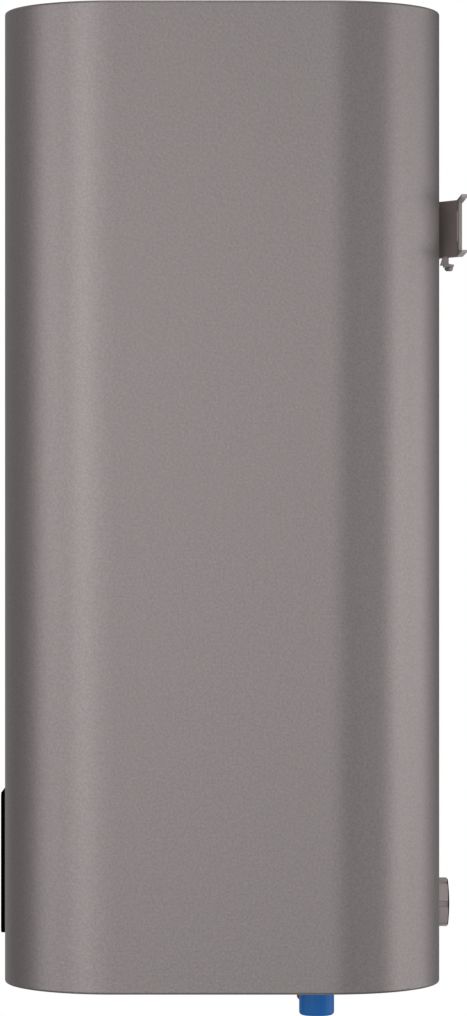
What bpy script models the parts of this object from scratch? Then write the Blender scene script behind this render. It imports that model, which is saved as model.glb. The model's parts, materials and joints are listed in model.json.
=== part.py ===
"""Wall-hung electric water heater of the flat kind: two slim tanks side by side in one painted casing.

Metres, +Z up. The front looks along -Y and the wall is the plane Y = 0. The origin lies on the wall, on the
heater's middle plane and at the height of the wall bracket's centre line.
"""
import math

import bmesh
import bpy
from mathutils import Matrix, Vector

# Fits and cuts
FIT_GAP = 0.0003
OVERRUN = 0.002

# Points closer than these are one point
CAP_WELD = 0.000005
TURN_MERGE = 0.00001

# Facets of round shapes
CORNER_STEPS = 7
BEAD_STEPS = 4
COVER_EDGE_STEPS = 2
BEND_STEPS = 2
ROUND_STEPS = 20
BUTTON_STEPS = 16
GLAND_STEPS = 12
HEX_STEPS = 6
SMALL_STEPS = 8
DOME_STEPS = 3
TUBE_RESOLUTION = 3
WIRE_RESOLUTION = 1

# Tanks, and the lagging and space around them, which give the casing its size
TANK_RADIUS = 0.099
TANK_HEIGHT = 0.467
TANK_GAP = 0.005
TANK_SHEET = 0.0012
TANK_DOME = 0.020
NECK_RADIUS = 0.0245
NECK_BORE_RADIUS = 0.0209
NECK_LENGTH = 0.015
SIDE_LAGGING = 0.0165
FRONT_LAGGING = 0.030
TOP_LAGGING = 0.0255
FOOT_SPACE = 0.0825

# Casing: one wrapped sheet, with a rolled bead and a turned-in seat at each end
TANK_SPREAD = TANK_RADIUS + TANK_GAP / 2
CASE_WIDTH = 2 * (TANK_SPREAD + TANK_RADIUS + SIDE_LAGGING)
CASE_DEPTH = 2 * (TANK_RADIUS + FRONT_LAGGING)
CASE_HEIGHT = TOP_LAGGING + TANK_HEIGHT + FOOT_SPACE
CASE_CORNER_RADIUS = 0.066
CASE_SHEET = 0.001
BEAD_RADIUS = 0.0015
SEAT_DROP = 0.005
SEAT_WIDTH = 0.014
SEAT_SCREW_SHARE = 0.6

# Place on the wall
WALL_GAP = 0.0147
HANG_DROP = 0.1267

# End covers, moulded
COVER_WALL = 0.0022
COVER_DROP = 0.0008
COVER_EDGE_RADIUS = 0.0015
COVER_BORDER = 0.013
COVER_STEP = 0.0012
COVER_STEP_RUN = 0.002
SCREW_BOSS_RADIUS = 0.0045
COVER_SCREW_RADIUS = 0.002
COVER_SCREW_HEAD_RADIUS = 0.0038
COVER_SCREW_HEAD = 0.002
COVER_SCREW_LENGTH = 0.012
COVER_SCREW_FROM_SIDE = 0.077
COVER_SCREW_TIP_SHARE = 0.5
COVER_SCREW_RIM_SHARE = 0.6
COVER_SCREW_CROWN_SHARE = 0.7

# Wall bracket: a strap that is bolted on the casing's back, joggled out to fork ends with lips.
# The reaches of its lock tabs run from the strap's middle line, towards the wall or the casing.
STRAP_HEIGHT = 0.034
STRAP_SHEET = 0.002
STRAP_BEND_RADIUS = 0.003
STRAP_FLAT_HALF = 0.1219
STRAP_JOGGLE_X = 0.1397
STRAP_WEB_X = 0.1493
STRAP_END_X = 0.186
STRAP_WEB_RECESS = 0.0009
LIP_SHEET = 0.0019
LIP_DEPTH = 0.0035
SLOT_CORNER_RADIUS = 0.002
SLOT_LIP_CUT = 0.0001
FORK_ROOT_HEIGHT = 0.0035
FORK_TIP_HEIGHT = 0.0013
TAB_PLACE_SHARE = 0.455
TAB_SHEET = 0.0016
TAB_DROP = 0.0055
TAB_ROOT = 0.002
TAB_WALL_REACH = 0.0004
TAB_TOP_REACH = 0.0035
TAB_LOW_REACH = 0.0049
FOOT_SHEET = 0.0015
FOOT_LENGTH = 0.009
FOOT_CASE_REACH = 0.0025
FOOT_WALL_REACH = 0.0034
LOCK_SCREW_FROM_TAB = 0.0045
LOCK_SCREW_REACH = 0.0007
LOCK_SCREW_RADIUS = 0.0012
LOCK_SCREW_TIP = 0.0006
LOCK_SCREW_HEAD_RADIUS = 0.0026
LOCK_SCREW_HEAD = 0.0020
LOCK_SCREW_RIM_SHARE = 0.5
LOCK_SCREW_CROWN_SHARE = 0.6

# Bracket bolts and the hanger inside the casing that they pull on
BOLT_PLACE_SHARES = (-0.78, -0.36, 0.36, 0.78)
BOLT_RADIUS = 0.003
BOLT_HEAD_RADIUS = 0.0056
BOLT_HEAD = 0.0035
BOLT_LENGTH = 0.014
HANGER_SHEET = 0.0025
HANGER_HEIGHT = 0.065
HANGER_FOOT_HALF = 0.011
HANGER_LEG_RUN = 0.024
WELD_NUT_RADIUS = 0.0065
WELD_NUT = 0.005

# Wall spacer: a stud in the casing's back, a fluted knob that screws along it, and a domed pad
SPACER_ABOVE_BOTTOM = 0.0317
SPACER_RADIUS = 0.01535
SPACER_DEPTH = 0.0128
SPACER_BASE_GAP = 0.0003
FLUTE_COUNT = 6
FLUTE_HALF_WIDTH = 0.0016
FLUTE_DEPTH = 0.0011
FLUTE_FLOOR_SHARE = 0.8
FLUTE_LAND_STEPS = 4
STUD_RADIUS = 0.004
STUD_REACH = 0.0102
STUD_CHAMFER_SHARE = 0.2
STUD_FLANGE_RADIUS = 0.011
STUD_FLANGE = 0.002
STUD_BORE_GAP = 0.0003
KNOB_BORE_DEPTH = 0.0110
PAD_RADIUS = 0.0145
PAD_RIM = 0.0003
PAD_DOME = 0.0009

# Water pipes with half-inch ends, and their caps
PIPE_RADIUS = 0.0104775
PIPE_WALL = 0.0025
PIPE_SPACING = 0.075
PIPE_FROM_MIDDLE = 0.0589
PIPE_REACH = 0.0337
PIPE_ENTRY_FROM_TANK = 0.0495
PIPE_ENTRY_FROM_MIDDLE = 0.046
PIPE_BEND_START = 0.0115
PIPE_BEND_RISE = 0.052
PIPE_BEND_POINTS = 5
COLD_PIPE_RISE = 0.010
HOT_PIPE_CLEARANCE = 0.014
CAP_WALL = 0.00035
CAP_GAP = 0.0001
CAP_FLOOR = 0.0008
CAP_LENGTH = 0.022
CAP_EDGE_RADIUS = 0.0022
CAP_EDGE_STEPS = 2
GROMMET_WALL = 0.0035
GROMMET_FLANGE = 0.0030
GROMMET_FLANGE_HEIGHT = 0.0022
DIFFUSER_WALL = 0.0020
DIFFUSER_HEIGHT = 0.022
DIFFUSER_SKIRT_SHARE = 0.6
DIFFUSER_SLOT_WIDTH = 0.006
DIFFUSER_SLOT_HEIGHT = 0.008

# Transfer pipe between the tanks
TRANSFER_RADIUS = 0.009
TRANSFER_WALL = 0.0015
TRANSFER_ENTRY_FROM_TANK = 0.0455
TRANSFER_FROM_MIDDLE = -0.025
TRANSFER_DROP = 0.046
TRANSFER_BEND_RADIUS = 0.022
TRANSFER_BEND_STEPS = 3
TRANSFER_OUTLET_RISE = 0.016

# Heater plugs, with what each one carries up into its tank
PLUG_THREAD_LENGTH = 0.014
PLUG_FLATS = 0.050
PLUG_HEAD = 0.010
GASKET_THICKNESS = 0.002
ELEMENT_RADIUS = 0.004
ELEMENT_SPREAD = 0.010
ELEMENT_FROM_AXIS = 0.006
ELEMENT_RISE = 0.290
ELEMENT_TAIL = 0.012
ELEMENT_BEND_STEPS = 8
ANODE_RADIUS = 0.0055
ANODE_STUD_RADIUS = 0.0025
ANODE_LENGTH = 0.200
ANODE_CHAMFER_SHARE = 0.4
ANODE_OFFSET = (-0.006, -0.009)
POCKET_RADIUS = 0.0035
POCKET_WALL = 0.0007
POCKET_RISE = 0.240
POCKET_TAIL = 0.003
POCKET_CHAMFER_SHARE = 0.5
POCKET_OFFSET = (0.008, -0.009)

# Control panel on the lower front
PANEL_WIDTH = 0.200
PANEL_HEIGHT = 0.0856
PANEL_ABOVE_BOTTOM = 0.0229
PANEL_PROUD = 0.0055
PANEL_CORNER_RADIUS = 0.004
PANEL_CORNER_STEPS = 3
GLASS_THICKNESS = 0.003
FRAME_INSET = 0.001
TRAY_INSET = 0.013
TRAY_DEPTH = 0.018
BUTTON_FROM_TRAY_SIDE = 0.013
BUTTON_PITCH = 0.024
BUTTON_NAMES = ("button_power", "button_mode", "button_minus", "button_plus")
BUTTON_RADIUS = 0.006
BUTTON_GAP = 0.0003
BUTTON_RECESS = 0.0002
BUTTON_FLANGE = 0.0012
BUTTON_FLANGE_HEIGHT = 0.001
BUTTON_STEM_RADIUS = 0.002
BUTTON_TRAVEL = 0.001
SWITCH_SIZE = 0.006
SWITCH_HEIGHT = 0.004
BOARD_THICKNESS = 0.0016
DISPLAY_BOARD_MARGIN = 0.003
DISPLAY_BOARD_LIFT = 0.003
DISPLAY_FROM_BUTTON = 0.022
DISPLAY_HEIGHT = 0.028

# Power board behind the panel's tray
POWER_BOARD_WIDTH = 0.150
POWER_BOARD_HEIGHT = 0.042
POWER_BOARD_STANDOFF = 0.006
POWER_BOARD_DROP = 0.010
STANDOFF_RADIUS = 0.003
STANDOFF_MARGIN = 0.005
RELAY_SIZE = (0.019, 0.016, 0.015)
RELAY_PLACES_X = (-0.044, 0.044)
TRANSFORMER_SIZE = (0.030, 0.022, 0.026)
CONNECTOR_SIZE = (0.012, 0.010, 0.008)
CONNECTOR_PLACES_X = (-0.066, -0.022, 0.066)
PART_SINK = 0.0004

# Cable inlet, terminals, thermal cut-out and earth stud above the bottom cover
GLAND_X = -0.110
GLAND_FROM_MIDDLE = -0.050
GLAND_THREAD_RADIUS = 0.008
GLAND_BORE_RADIUS = 0.0045
GLAND_HEAD_RADIUS = 0.0105
GLAND_HEAD = 0.006
GLAND_DOME = 0.007
GLAND_SHOULDER_SHARE = 0.9
GLAND_SHOULDER_DROP_SHARE = 0.4
GLAND_MOUTH_SHARE = 1.4
GLAND_THREAD_RISE = 0.010
GLAND_NUT_RADIUS = 0.011
GLAND_NUT = 0.005
TERMINAL_X = -0.074
TERMINAL_FROM_MIDDLE = -0.066
TERMINAL_SIZE = (0.030, 0.018, 0.016)
TERMINAL_SLOT_WIDTH = 0.006
TERMINAL_SLOT_DEPTH = 0.006
CUTOUT_X = 0.012
CUTOUT_FROM_MIDDLE = 0.020
CUTOUT_SIZE = (0.036, 0.026, 0.022)
CUTOUT_BORE_DEPTH = 0.009
RESET_RADIUS = 0.003
RESET_FLANGE = 0.0015
RESET_FLANGE_HEIGHT = 0.001
RESET_STEM = 0.0055
RESET_RECESS = 0.0005
EARTH_STUD_RADIUS = 0.0025
EARTH_STUD_BASE_RADIUS = 0.005
EARTH_STUD_BASE = 0.0015
EARTH_STUD_HEIGHT = 0.014
LOOM_RADIUS = 0.003
LOOM_BEND_POINTS = 9
MAINS_LOOM_HEIGHT = 0.010

# Places that follow from the sizes above
CASE_BACK_Y = -WALL_GAP
CASE_MID_Y = CASE_BACK_Y - CASE_DEPTH / 2
CASE_FRONT_Y = CASE_BACK_Y - CASE_DEPTH
CASE_TOP_Z = HANG_DROP
CASE_BOTTOM_Z = CASE_TOP_Z - CASE_HEIGHT
CASE_INNER_BACK_Y = CASE_BACK_Y - CASE_SHEET
COVER_INSET = 2 * BEAD_RADIUS + FIT_GAP
COVER_INNER_Z = CASE_BOTTOM_Z + COVER_DROP + COVER_WALL + COVER_STEP
SEAT_INNER_Z = CASE_BOTTOM_Z + SEAT_DROP + CASE_SHEET
SEAT_MIDDLE_INSET = 2 * BEAD_RADIUS + SEAT_WIDTH * SEAT_SCREW_SHARE
COVER_SCREW_X = CASE_WIDTH / 2 - COVER_SCREW_FROM_SIDE
COVER_SCREW_Y = CASE_DEPTH / 2 - SEAT_MIDDLE_INSET
TANK_TOP_Z = CASE_TOP_Z - TOP_LAGGING
TANK_BOTTOM_Z = TANK_TOP_Z - TANK_HEIGHT
NECK_BOTTOM_Z = TANK_BOTTOM_Z - NECK_LENGTH
PLUG_HEAD_TOP_Z = NECK_BOTTOM_Z - 2 * FIT_GAP - GASKET_THICKNESS
PLUG_HEAD_BOTTOM_Z = PLUG_HEAD_TOP_Z - PLUG_HEAD
PANEL_MID_Z = CASE_BOTTOM_Z + PANEL_ABOVE_BOTTOM + PANEL_HEIGHT / 2
GLASS_FRONT_Y = CASE_FRONT_Y - PANEL_PROUD
GLASS_BACK_Y = GLASS_FRONT_Y + GLASS_THICKNESS
FRAME_FRONT_Y = GLASS_BACK_Y + FIT_GAP
FRAME_FLANGE = PANEL_PROUD - GLASS_THICKNESS - 2 * FIT_GAP
TRAY_FLOOR_Y = FRAME_FRONT_Y + TRAY_DEPTH
TRAY_BACK_Y = TRAY_FLOOR_Y + FRAME_FLANGE
TRAY_WIDTH = PANEL_WIDTH - 2 * TRAY_INSET
TRAY_HEIGHT = PANEL_HEIGHT - 2 * TRAY_INSET
BUTTON_OUTER_X = TRAY_WIDTH / 2 - BUTTON_FROM_TRAY_SIDE
BUTTON_INNER_X = BUTTON_OUTER_X - BUTTON_PITCH
BUTTON_PLACES_X = (-BUTTON_OUTER_X, -BUTTON_INNER_X, BUTTON_INNER_X, BUTTON_OUTER_X)
DISPLAY_WIDTH = 2 * (BUTTON_INNER_X - DISPLAY_FROM_BUTTON)
FOAM_BOTTOM_Z = PANEL_MID_Z + TRAY_HEIGHT / 2 + FRAME_FLANGE + FIT_GAP
DISPLAY_BOARD_FRONT_Y = TRAY_FLOOR_Y - DISPLAY_BOARD_LIFT - BOARD_THICKNESS
POWER_BOARD_FRONT_Y = TRAY_BACK_Y + FIT_GAP + POWER_BOARD_STANDOFF
POWER_BOARD_BACK_Y = POWER_BOARD_FRONT_Y + BOARD_THICKNESS
POWER_BOARD_Z = PANEL_MID_Z - POWER_BOARD_DROP
STRAP_FLAT_Y = CASE_BACK_Y + FIT_GAP + STRAP_SHEET / 2
STRAP_WEB_Y = -STRAP_WEB_RECESS - STRAP_SHEET / 2
HANGER_FLAT_Y = CASE_INNER_BACK_Y - FIT_GAP - HANGER_SHEET / 2
HANGER_FOOT_Y = CASE_MID_Y + TANK_RADIUS + FIT_GAP + HANGER_SHEET / 2
HANGER_FLAT_HALF = TANK_SPREAD - HANGER_FOOT_HALF - HANGER_LEG_RUN
BOLT_PLACES_X = [share * HANGER_FLAT_HALF for share in BOLT_PLACE_SHARES]
SPACER_Z = CASE_BOTTOM_Z + SPACER_ABOVE_BOTTOM
SPACER_BASE_Y = CASE_BACK_Y + SPACER_BASE_GAP
SPACER_TOP_Y = SPACER_BASE_Y + SPACER_DEPTH
PIPE_Y = CASE_MID_Y + PIPE_FROM_MIDDLE
PIPE_END_Z = CASE_BOTTOM_Z - PIPE_REACH

PARTS = None
CUTTERS = None


def clear_scene():
    """Empty the scene and make the collections of the parts and of the cutters."""
    global PARTS, CUTTERS
    for old in list(bpy.data.objects):
        bpy.data.objects.remove(old, do_unlink=True)
    PARTS = bpy.data.collections.new("water_heater")
    CUTTERS = bpy.data.collections.new("cutters")
    bpy.context.scene.collection.children.link(PARTS)
    bpy.context.scene.collection.children.link(CUTTERS)


def make_material(name, colour, roughness, metallic=0.0):
    """A Principled material in one plain colour."""
    material = bpy.data.materials.new(name)
    material.use_nodes = True
    shader = material.node_tree.nodes["Principled BSDF"]
    shader.inputs["Base Color"].default_value = (*colour, 1.0)
    shader.inputs["Roughness"].default_value = roughness
    shader.inputs["Metallic"].default_value = metallic
    material.diffuse_color = (*colour, 1.0)
    return material


def make_materials():
    """The finishes of the heater's pieces, by name."""
    return {
        "titanium_paint": make_material("titanium_paint", (0.27, 0.25, 0.25), 0.38, 0.55),
        "grey_plastic": make_material("grey_plastic", (0.22, 0.21, 0.21), 0.5),
        "black_gloss": make_material("black_gloss", (0.004, 0.004, 0.004), 0.08),
        "black_plastic": make_material("black_plastic", (0.02, 0.02, 0.02), 0.45),
        "bracket_steel": make_material("bracket_steel", (0.16, 0.14, 0.135), 0.45, 0.6),
        "zinc_steel": make_material("zinc_steel", (0.55, 0.56, 0.57), 0.35, 0.9),
        "stainless": make_material("stainless", (0.60, 0.60, 0.59), 0.28, 1.0),
        "brass": make_material("brass", (0.72, 0.53, 0.24), 0.3, 1.0),
        "copper": make_material("copper", (0.72, 0.38, 0.24), 0.35, 1.0),
        "magnesium": make_material("magnesium", (0.55, 0.55, 0.54), 0.6, 0.8),
        "foam": make_material("foam", (0.80, 0.70, 0.45), 0.95),
        "rubber": make_material("rubber", (0.03, 0.03, 0.03), 0.8),
        "blue_plastic": make_material("blue_plastic", (0.02, 0.11, 0.33), 0.35),
        "red_plastic": make_material("red_plastic", (0.42, 0.02, 0.02), 0.35),
        "white_plastic": make_material("white_plastic", (0.75, 0.75, 0.73), 0.5),
        "board_green": make_material("board_green", (0.02, 0.16, 0.06), 0.5),
        "loom_sleeve": make_material("loom_sleeve", (0.05, 0.05, 0.05), 0.7),
    }


def place(obj, collection, material=None):
    """Link an object to one collection and give it its material."""
    for other in list(obj.users_collection):
        other.objects.unlink(obj)
    collection.objects.link(obj)
    if material is not None:
        obj.data.materials.clear()
        obj.data.materials.append(material)
    return obj


def as_cutter(obj):
    """Turn an object into a cutter, which is not a piece of the heater."""
    place(obj, CUTTERS)
    obj.hide_render = True
    obj.display_type = "WIRE"
    return obj


def boolean(target, cutter, operation):
    """Cut the cutter from the target, or join it to the target."""
    as_cutter(cutter)
    modifier = target.modifiers.new(operation.lower() + "_" + cutter.name, "BOOLEAN")
    modifier.operation = operation
    modifier.solver = "EXACT"
    modifier.object = cutter


def cut(target, cutter):
    """Take the cutter's space away from the target."""
    boolean(target, cutter, "DIFFERENCE")


def join(target, addition):
    """Make the addition one body with the target."""
    boolean(target, addition, "UNION")


def shade_round(obj, angle=math.radians(35)):
    """Shade a mesh smooth, with sharp edges where its faces turn by more than the angle."""
    obj.data.shade_smooth()
    obj.data.set_sharp_from_angle(angle=angle)
    return obj


def mesh_object(name, bm, material=None):
    """An object from a bmesh, in the parts' collection."""
    mesh = bpy.data.meshes.new(name)
    bm.to_mesh(mesh)
    bm.free()
    return place(bpy.data.objects.new(name, mesh), PARTS, material)


def box(name, low, high, material=None):
    """A box between two corners."""
    low = Vector(low)
    high = Vector(high)
    bm = bmesh.new()
    bmesh.ops.create_cube(bm, size=1.0)
    bmesh.ops.scale(bm, verts=bm.verts, vec=high - low)
    obj = mesh_object(name, bm, material)
    obj.location = (low + high) / 2
    return obj


def cylinder(name, radius, start, end, steps=SMALL_STEPS, material=None):
    """A cylinder or prism between two points of its axis, with its first corner towards +X."""
    start = Vector(start)
    end = Vector(end)
    span = end - start
    bm = bmesh.new()
    bmesh.ops.create_cone(
        bm, cap_ends=True, segments=steps, radius1=radius, radius2=radius, depth=span.length
    )
    bmesh.ops.rotate(bm, verts=bm.verts, matrix=Matrix.Rotation(-math.pi / 2, 3, "Z"))
    obj = mesh_object(name, bm, material)
    obj.rotation_mode = "QUATERNION"
    obj.rotation_quaternion = Vector((0, 0, 1)).rotation_difference(span)
    obj.location = (start + end) / 2
    return shade_round(obj)


def turned(name, profile, base, direction=(0, 0, 1), steps=ROUND_STEPS, material=None):
    """A solid turned from a profile of (radius, height) points that runs down its outer side."""
    bm = bmesh.new()
    points = [bm.verts.new((radius, 0, height)) for radius, height in profile]
    for first, second in zip(points, points[1:]):
        bm.edges.new((first, second))
    obj = mesh_object(name, bm, material)
    screw = obj.modifiers.new("turn", "SCREW")
    screw.axis = "Z"
    screw.steps = steps
    screw.render_steps = steps
    screw.use_merge_vertices = True
    screw.merge_threshold = TURN_MERGE
    screw.use_smooth_shade = True
    obj.rotation_mode = "QUATERNION"
    obj.rotation_quaternion = Vector((0, 0, 1)).rotation_difference(Vector(direction))
    obj.location = base
    return obj


def closed(profile):
    """A profile that ends where it starts, for a ring that never meets its axis."""
    return list(profile) + [profile[0]]


def rounded_rectangle(width, height, radius, steps=CORNER_STEPS):
    """Points of a rectangle with round corners, anticlockwise, centred on zero."""
    points = []
    centres = ((1, 1), (-1, 1), (-1, -1), (1, -1))
    for corner, (side_x, side_y) in enumerate(centres):
        centre_x = side_x * (width / 2 - radius)
        centre_y = side_y * (height / 2 - radius)
        for step in range(steps + 1):
            angle = math.pi / 2 * (corner + step / steps)
            points.append((centre_x + radius * math.cos(angle), centre_y + radius * math.sin(angle)))
    return points


def circle(x, y, radius, steps=SMALL_STEPS):
    """Points of a circle, for a hole in a flat outline."""
    turns = [2 * math.pi * step / steps for step in range(steps)]
    return [(x + radius * math.cos(turn), y + radius * math.sin(turn)) for turn in turns]


def to_mesh(curve):
    """Replace a curve object by a mesh object of the same name and place, with its caps welded."""
    bpy.context.view_layer.update()
    depsgraph = bpy.context.evaluated_depsgraph_get()
    mesh = bpy.data.meshes.new_from_object(curve.evaluated_get(depsgraph))
    bm = bmesh.new()
    bm.from_mesh(mesh)
    bmesh.ops.remove_doubles(bm, verts=bm.verts, dist=CAP_WELD)
    bm.to_mesh(mesh)
    bm.free()
    name = curve.name
    matrix = curve.matrix_world.copy()
    material = curve.data.materials[0] if curve.data.materials else None
    bpy.data.objects.remove(curve, do_unlink=True)
    obj = place(bpy.data.objects.new(name, mesh), PARTS, material)
    obj.matrix_world = matrix
    return obj


def plate(name, outlines, thickness, centre, upright=False, material=None):
    """A flat plate with holes. An upright plate stands in the XZ plane, any other lies in the XY plane."""
    curve = bpy.data.curves.new(name, "CURVE")
    curve.dimensions = "2D"
    curve.fill_mode = "BOTH"
    curve.extrude = thickness / 2
    for outline in outlines:
        spline = curve.splines.new("POLY")
        spline.points.add(len(outline) - 1)
        for point, (x, y) in zip(spline.points, outline):
            point.co = (x, y, 0, 1)
        spline.use_cyclic_u = True
    obj = place(bpy.data.objects.new(name, curve), PARTS, material)
    obj.location = centre
    if upright:
        obj.rotation_euler = (math.pi / 2, 0, 0)
    return to_mesh(obj)


def tube(name, points, radius, resolution=TUBE_RESOLUTION, material=None):
    """A round bar along a row of points."""
    curve = bpy.data.curves.new(name, "CURVE")
    curve.dimensions = "3D"
    curve.bevel_depth = radius
    curve.bevel_resolution = resolution
    curve.use_fill_caps = True
    spline = curve.splines.new("POLY")
    spline.points.add(len(points) - 1)
    for point, place_of_point in zip(spline.points, points):
        point.co = (*place_of_point, 1)
    obj = place(bpy.data.objects.new(name, curve), PARTS, material)
    return shade_round(to_mesh(obj))


def hollow_tube(name, points, radius, wall, material=None):
    """A pipe along a row of points, bored from end to end."""
    pipe = tube(name, points, radius, material=material)
    start = Vector(points[0]) - Vector(points[1])
    finish = Vector(points[-1]) - Vector(points[-2])
    bore_points = list(points)
    bore_points[0] = Vector(points[0]) + start.normalized() * OVERRUN
    bore_points[-1] = Vector(points[-1]) + finish.normalized() * OVERRUN
    cut(pipe, tube(name + "_bore", bore_points, radius - wall))
    return pipe


def ribbon(path, thickness):
    """Outline of a bent strip: its path moved to both sides by half the thickness, with mitred bends."""
    points = [Vector(point) for point in path]
    sides = ([], [])
    for index, point in enumerate(points):
        before = (point - points[index - 1]).normalized() if index > 0 else None
        after = (points[index + 1] - point).normalized() if index < len(points) - 1 else None
        before = before or after
        after = after or before
        middle = (before + after).normalized()
        normal = Vector((-middle.y, middle.x))
        reach = thickness / 2 / middle.dot(before)
        sides[0].append(point + normal * reach)
        sides[1].append(point - normal * reach)
    return [tuple(point) for point in sides[1] + sides[0][::-1]]


def bent_path(corners, radius):
    """A line in plan through its corners, with each inner corner rounded to a bend of the radius."""
    points = [Vector(corners[0])]
    for before, corner, after in zip(corners, corners[1:], corners[2:]):
        onward = (Vector(corner) - Vector(before)).normalized()
        away = (Vector(after) - Vector(corner)).normalized()
        turn = math.atan2(onward.x * away.y - onward.y * away.x, onward.dot(away))
        side = Vector((-onward.y, onward.x)) * math.copysign(1, turn)
        start = Vector(corner) - onward * radius * math.tan(abs(turn) / 2)
        for step in range(BEND_STEPS + 1):
            angle = abs(turn) * step / BEND_STEPS
            points.append(start + onward * radius * math.sin(angle) + side * radius * (1 - math.cos(angle)))
    points.append(Vector(corners[-1]))
    return points


def mirrored_path(half):
    """A path through X = 0 from its half on the right side."""
    return [(-x, y) for x, y in reversed(half)] + list(half)


def ring_shell(name, rings, wall, centre, upright=False, capped=False, steps=CORNER_STEPS, material=None):
    """A sheet lofted through rounded rectangles of (width, height, radius, level), then given a wall."""
    bm = bmesh.new()
    levels = []
    for width, height, radius, level in rings:
        outline = rounded_rectangle(width, height, radius, steps)
        levels.append([bm.verts.new((x, y, level)) for x, y in outline])
    for lower, upper in zip(levels, levels[1:]):
        count = len(lower)
        for index in range(count):
            following = (index + 1) % count
            bm.faces.new((lower[index], lower[following], upper[following], upper[index]))
    if capped:
        bm.faces.new(levels[-1])
    obj = mesh_object(name, bm, material)
    solidify = obj.modifiers.new("wall", "SOLIDIFY")
    solidify.thickness = wall
    solidify.offset = -1
    solidify.use_even_offset = True
    obj.location = centre
    if upright:
        obj.rotation_euler = (math.pi / 2, 0, 0)
    return shade_round(obj)


def case_ring(inset, level):
    """The casing's plan outline, drawn in from its face by the inset, at a height."""
    return (CASE_WIDTH - 2 * inset, CASE_DEPTH - 2 * inset, CASE_CORNER_RADIUS - inset, level)


def bead_arc(end_z, direction):
    """Half circle of the rolled bead at one end, from the casing's face inwards, as (inset, height)."""
    arc = []
    for step in range(BEAD_STEPS + 1):
        angle = math.pi * step / BEAD_STEPS
        inset = BEAD_RADIUS * (1 - math.cos(angle))
        arc.append((inset, end_z - direction * BEAD_RADIUS * (1 - math.sin(angle))))
    return arc


def case_section():
    """The sheet's section from the bottom seat's edge, round the wall, to the top seat's edge."""
    seat_inset = 2 * BEAD_RADIUS
    bottom = [(seat_inset + SEAT_WIDTH, CASE_BOTTOM_Z + SEAT_DROP), (seat_inset, CASE_BOTTOM_Z + SEAT_DROP)]
    top = [(seat_inset, CASE_TOP_Z - SEAT_DROP), (seat_inset + SEAT_WIDTH, CASE_TOP_Z - SEAT_DROP)]
    return bottom + bead_arc(CASE_BOTTOM_Z, -1)[::-1] + bead_arc(CASE_TOP_Z, 1) + top


def cover_screw_places():
    """Places of the bottom cover's screws, over the casing's seat."""
    return [
        (side_x * COVER_SCREW_X, CASE_MID_Y + side_y * COVER_SCREW_Y)
        for side_x in (-1, 1)
        for side_y in (-1, 1)
    ]


def build_casing(materials):
    """Painted wrap with its panel window, bolt holes, stud hole and cover screw holes."""
    rings = [case_ring(inset, level) for inset, level in case_section()]
    middle = (0, CASE_MID_Y, 0)
    casing = ring_shell("casing", rings, CASE_SHEET, middle, material=materials["titanium_paint"])
    half_width = TRAY_WIDTH / 2 + FRAME_FLANGE + FIT_GAP
    half_height = TRAY_HEIGHT / 2 + FRAME_FLANGE + FIT_GAP
    low = (-half_width, CASE_FRONT_Y - OVERRUN, PANEL_MID_Z - half_height)
    high = (half_width, CASE_FRONT_Y + CASE_SHEET + OVERRUN, PANEL_MID_Z + half_height)
    cut(casing, box("panel_window", low, high))
    back_in = CASE_INNER_BACK_Y - OVERRUN
    back_out = CASE_BACK_Y + OVERRUN
    for x in BOLT_PLACES_X:
        cut(casing, cylinder("case_bolt_hole", BOLT_RADIUS + FIT_GAP, (x, back_in, 0), (x, back_out, 0)))
    stud_radius = STUD_RADIUS + FIT_GAP
    cut(casing, cylinder("case_stud_hole", stud_radius, (0, back_in, SPACER_Z), (0, back_out, SPACER_Z)))
    for x, y in cover_screw_places():
        low_z = CASE_BOTTOM_Z + SEAT_DROP - OVERRUN
        hole_radius = COVER_SCREW_RADIUS + FIT_GAP
        cut(casing, cylinder("seat_screw_hole", hole_radius, (x, y, low_z), (x, y, SEAT_INNER_Z + OVERRUN)))


def cover_rings(end_z, outward):
    """Rings of a moulded cover: a skirt on the seat, a round edge, a border and a sunk field."""
    skirt_end = end_z - outward * (SEAT_DROP - FIT_GAP)
    face = end_z - outward * COVER_DROP
    section = [(COVER_INSET, skirt_end)]
    for step in range(COVER_EDGE_STEPS + 1):
        angle = math.pi / 2 * step / COVER_EDGE_STEPS
        inset = COVER_INSET + COVER_EDGE_RADIUS * (1 - math.cos(angle))
        section.append((inset, face - outward * COVER_EDGE_RADIUS * (1 - math.sin(angle))))
    field_inset = COVER_INSET + COVER_BORDER
    section.append((field_inset, face))
    section.append((field_inset + COVER_STEP_RUN, face - outward * COVER_STEP))
    return [case_ring(inset, level) for inset, level in section]


def build_cover(name, end_z, outward, material):
    """A moulded end cover, seated inside the casing's bead."""
    cover = ring_shell(name, cover_rings(end_z, outward), COVER_WALL, (0, CASE_MID_Y, 0), capped=True,
                       material=material)
    if outward < 0:
        cover.data.flip_normals()
    return cover


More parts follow.
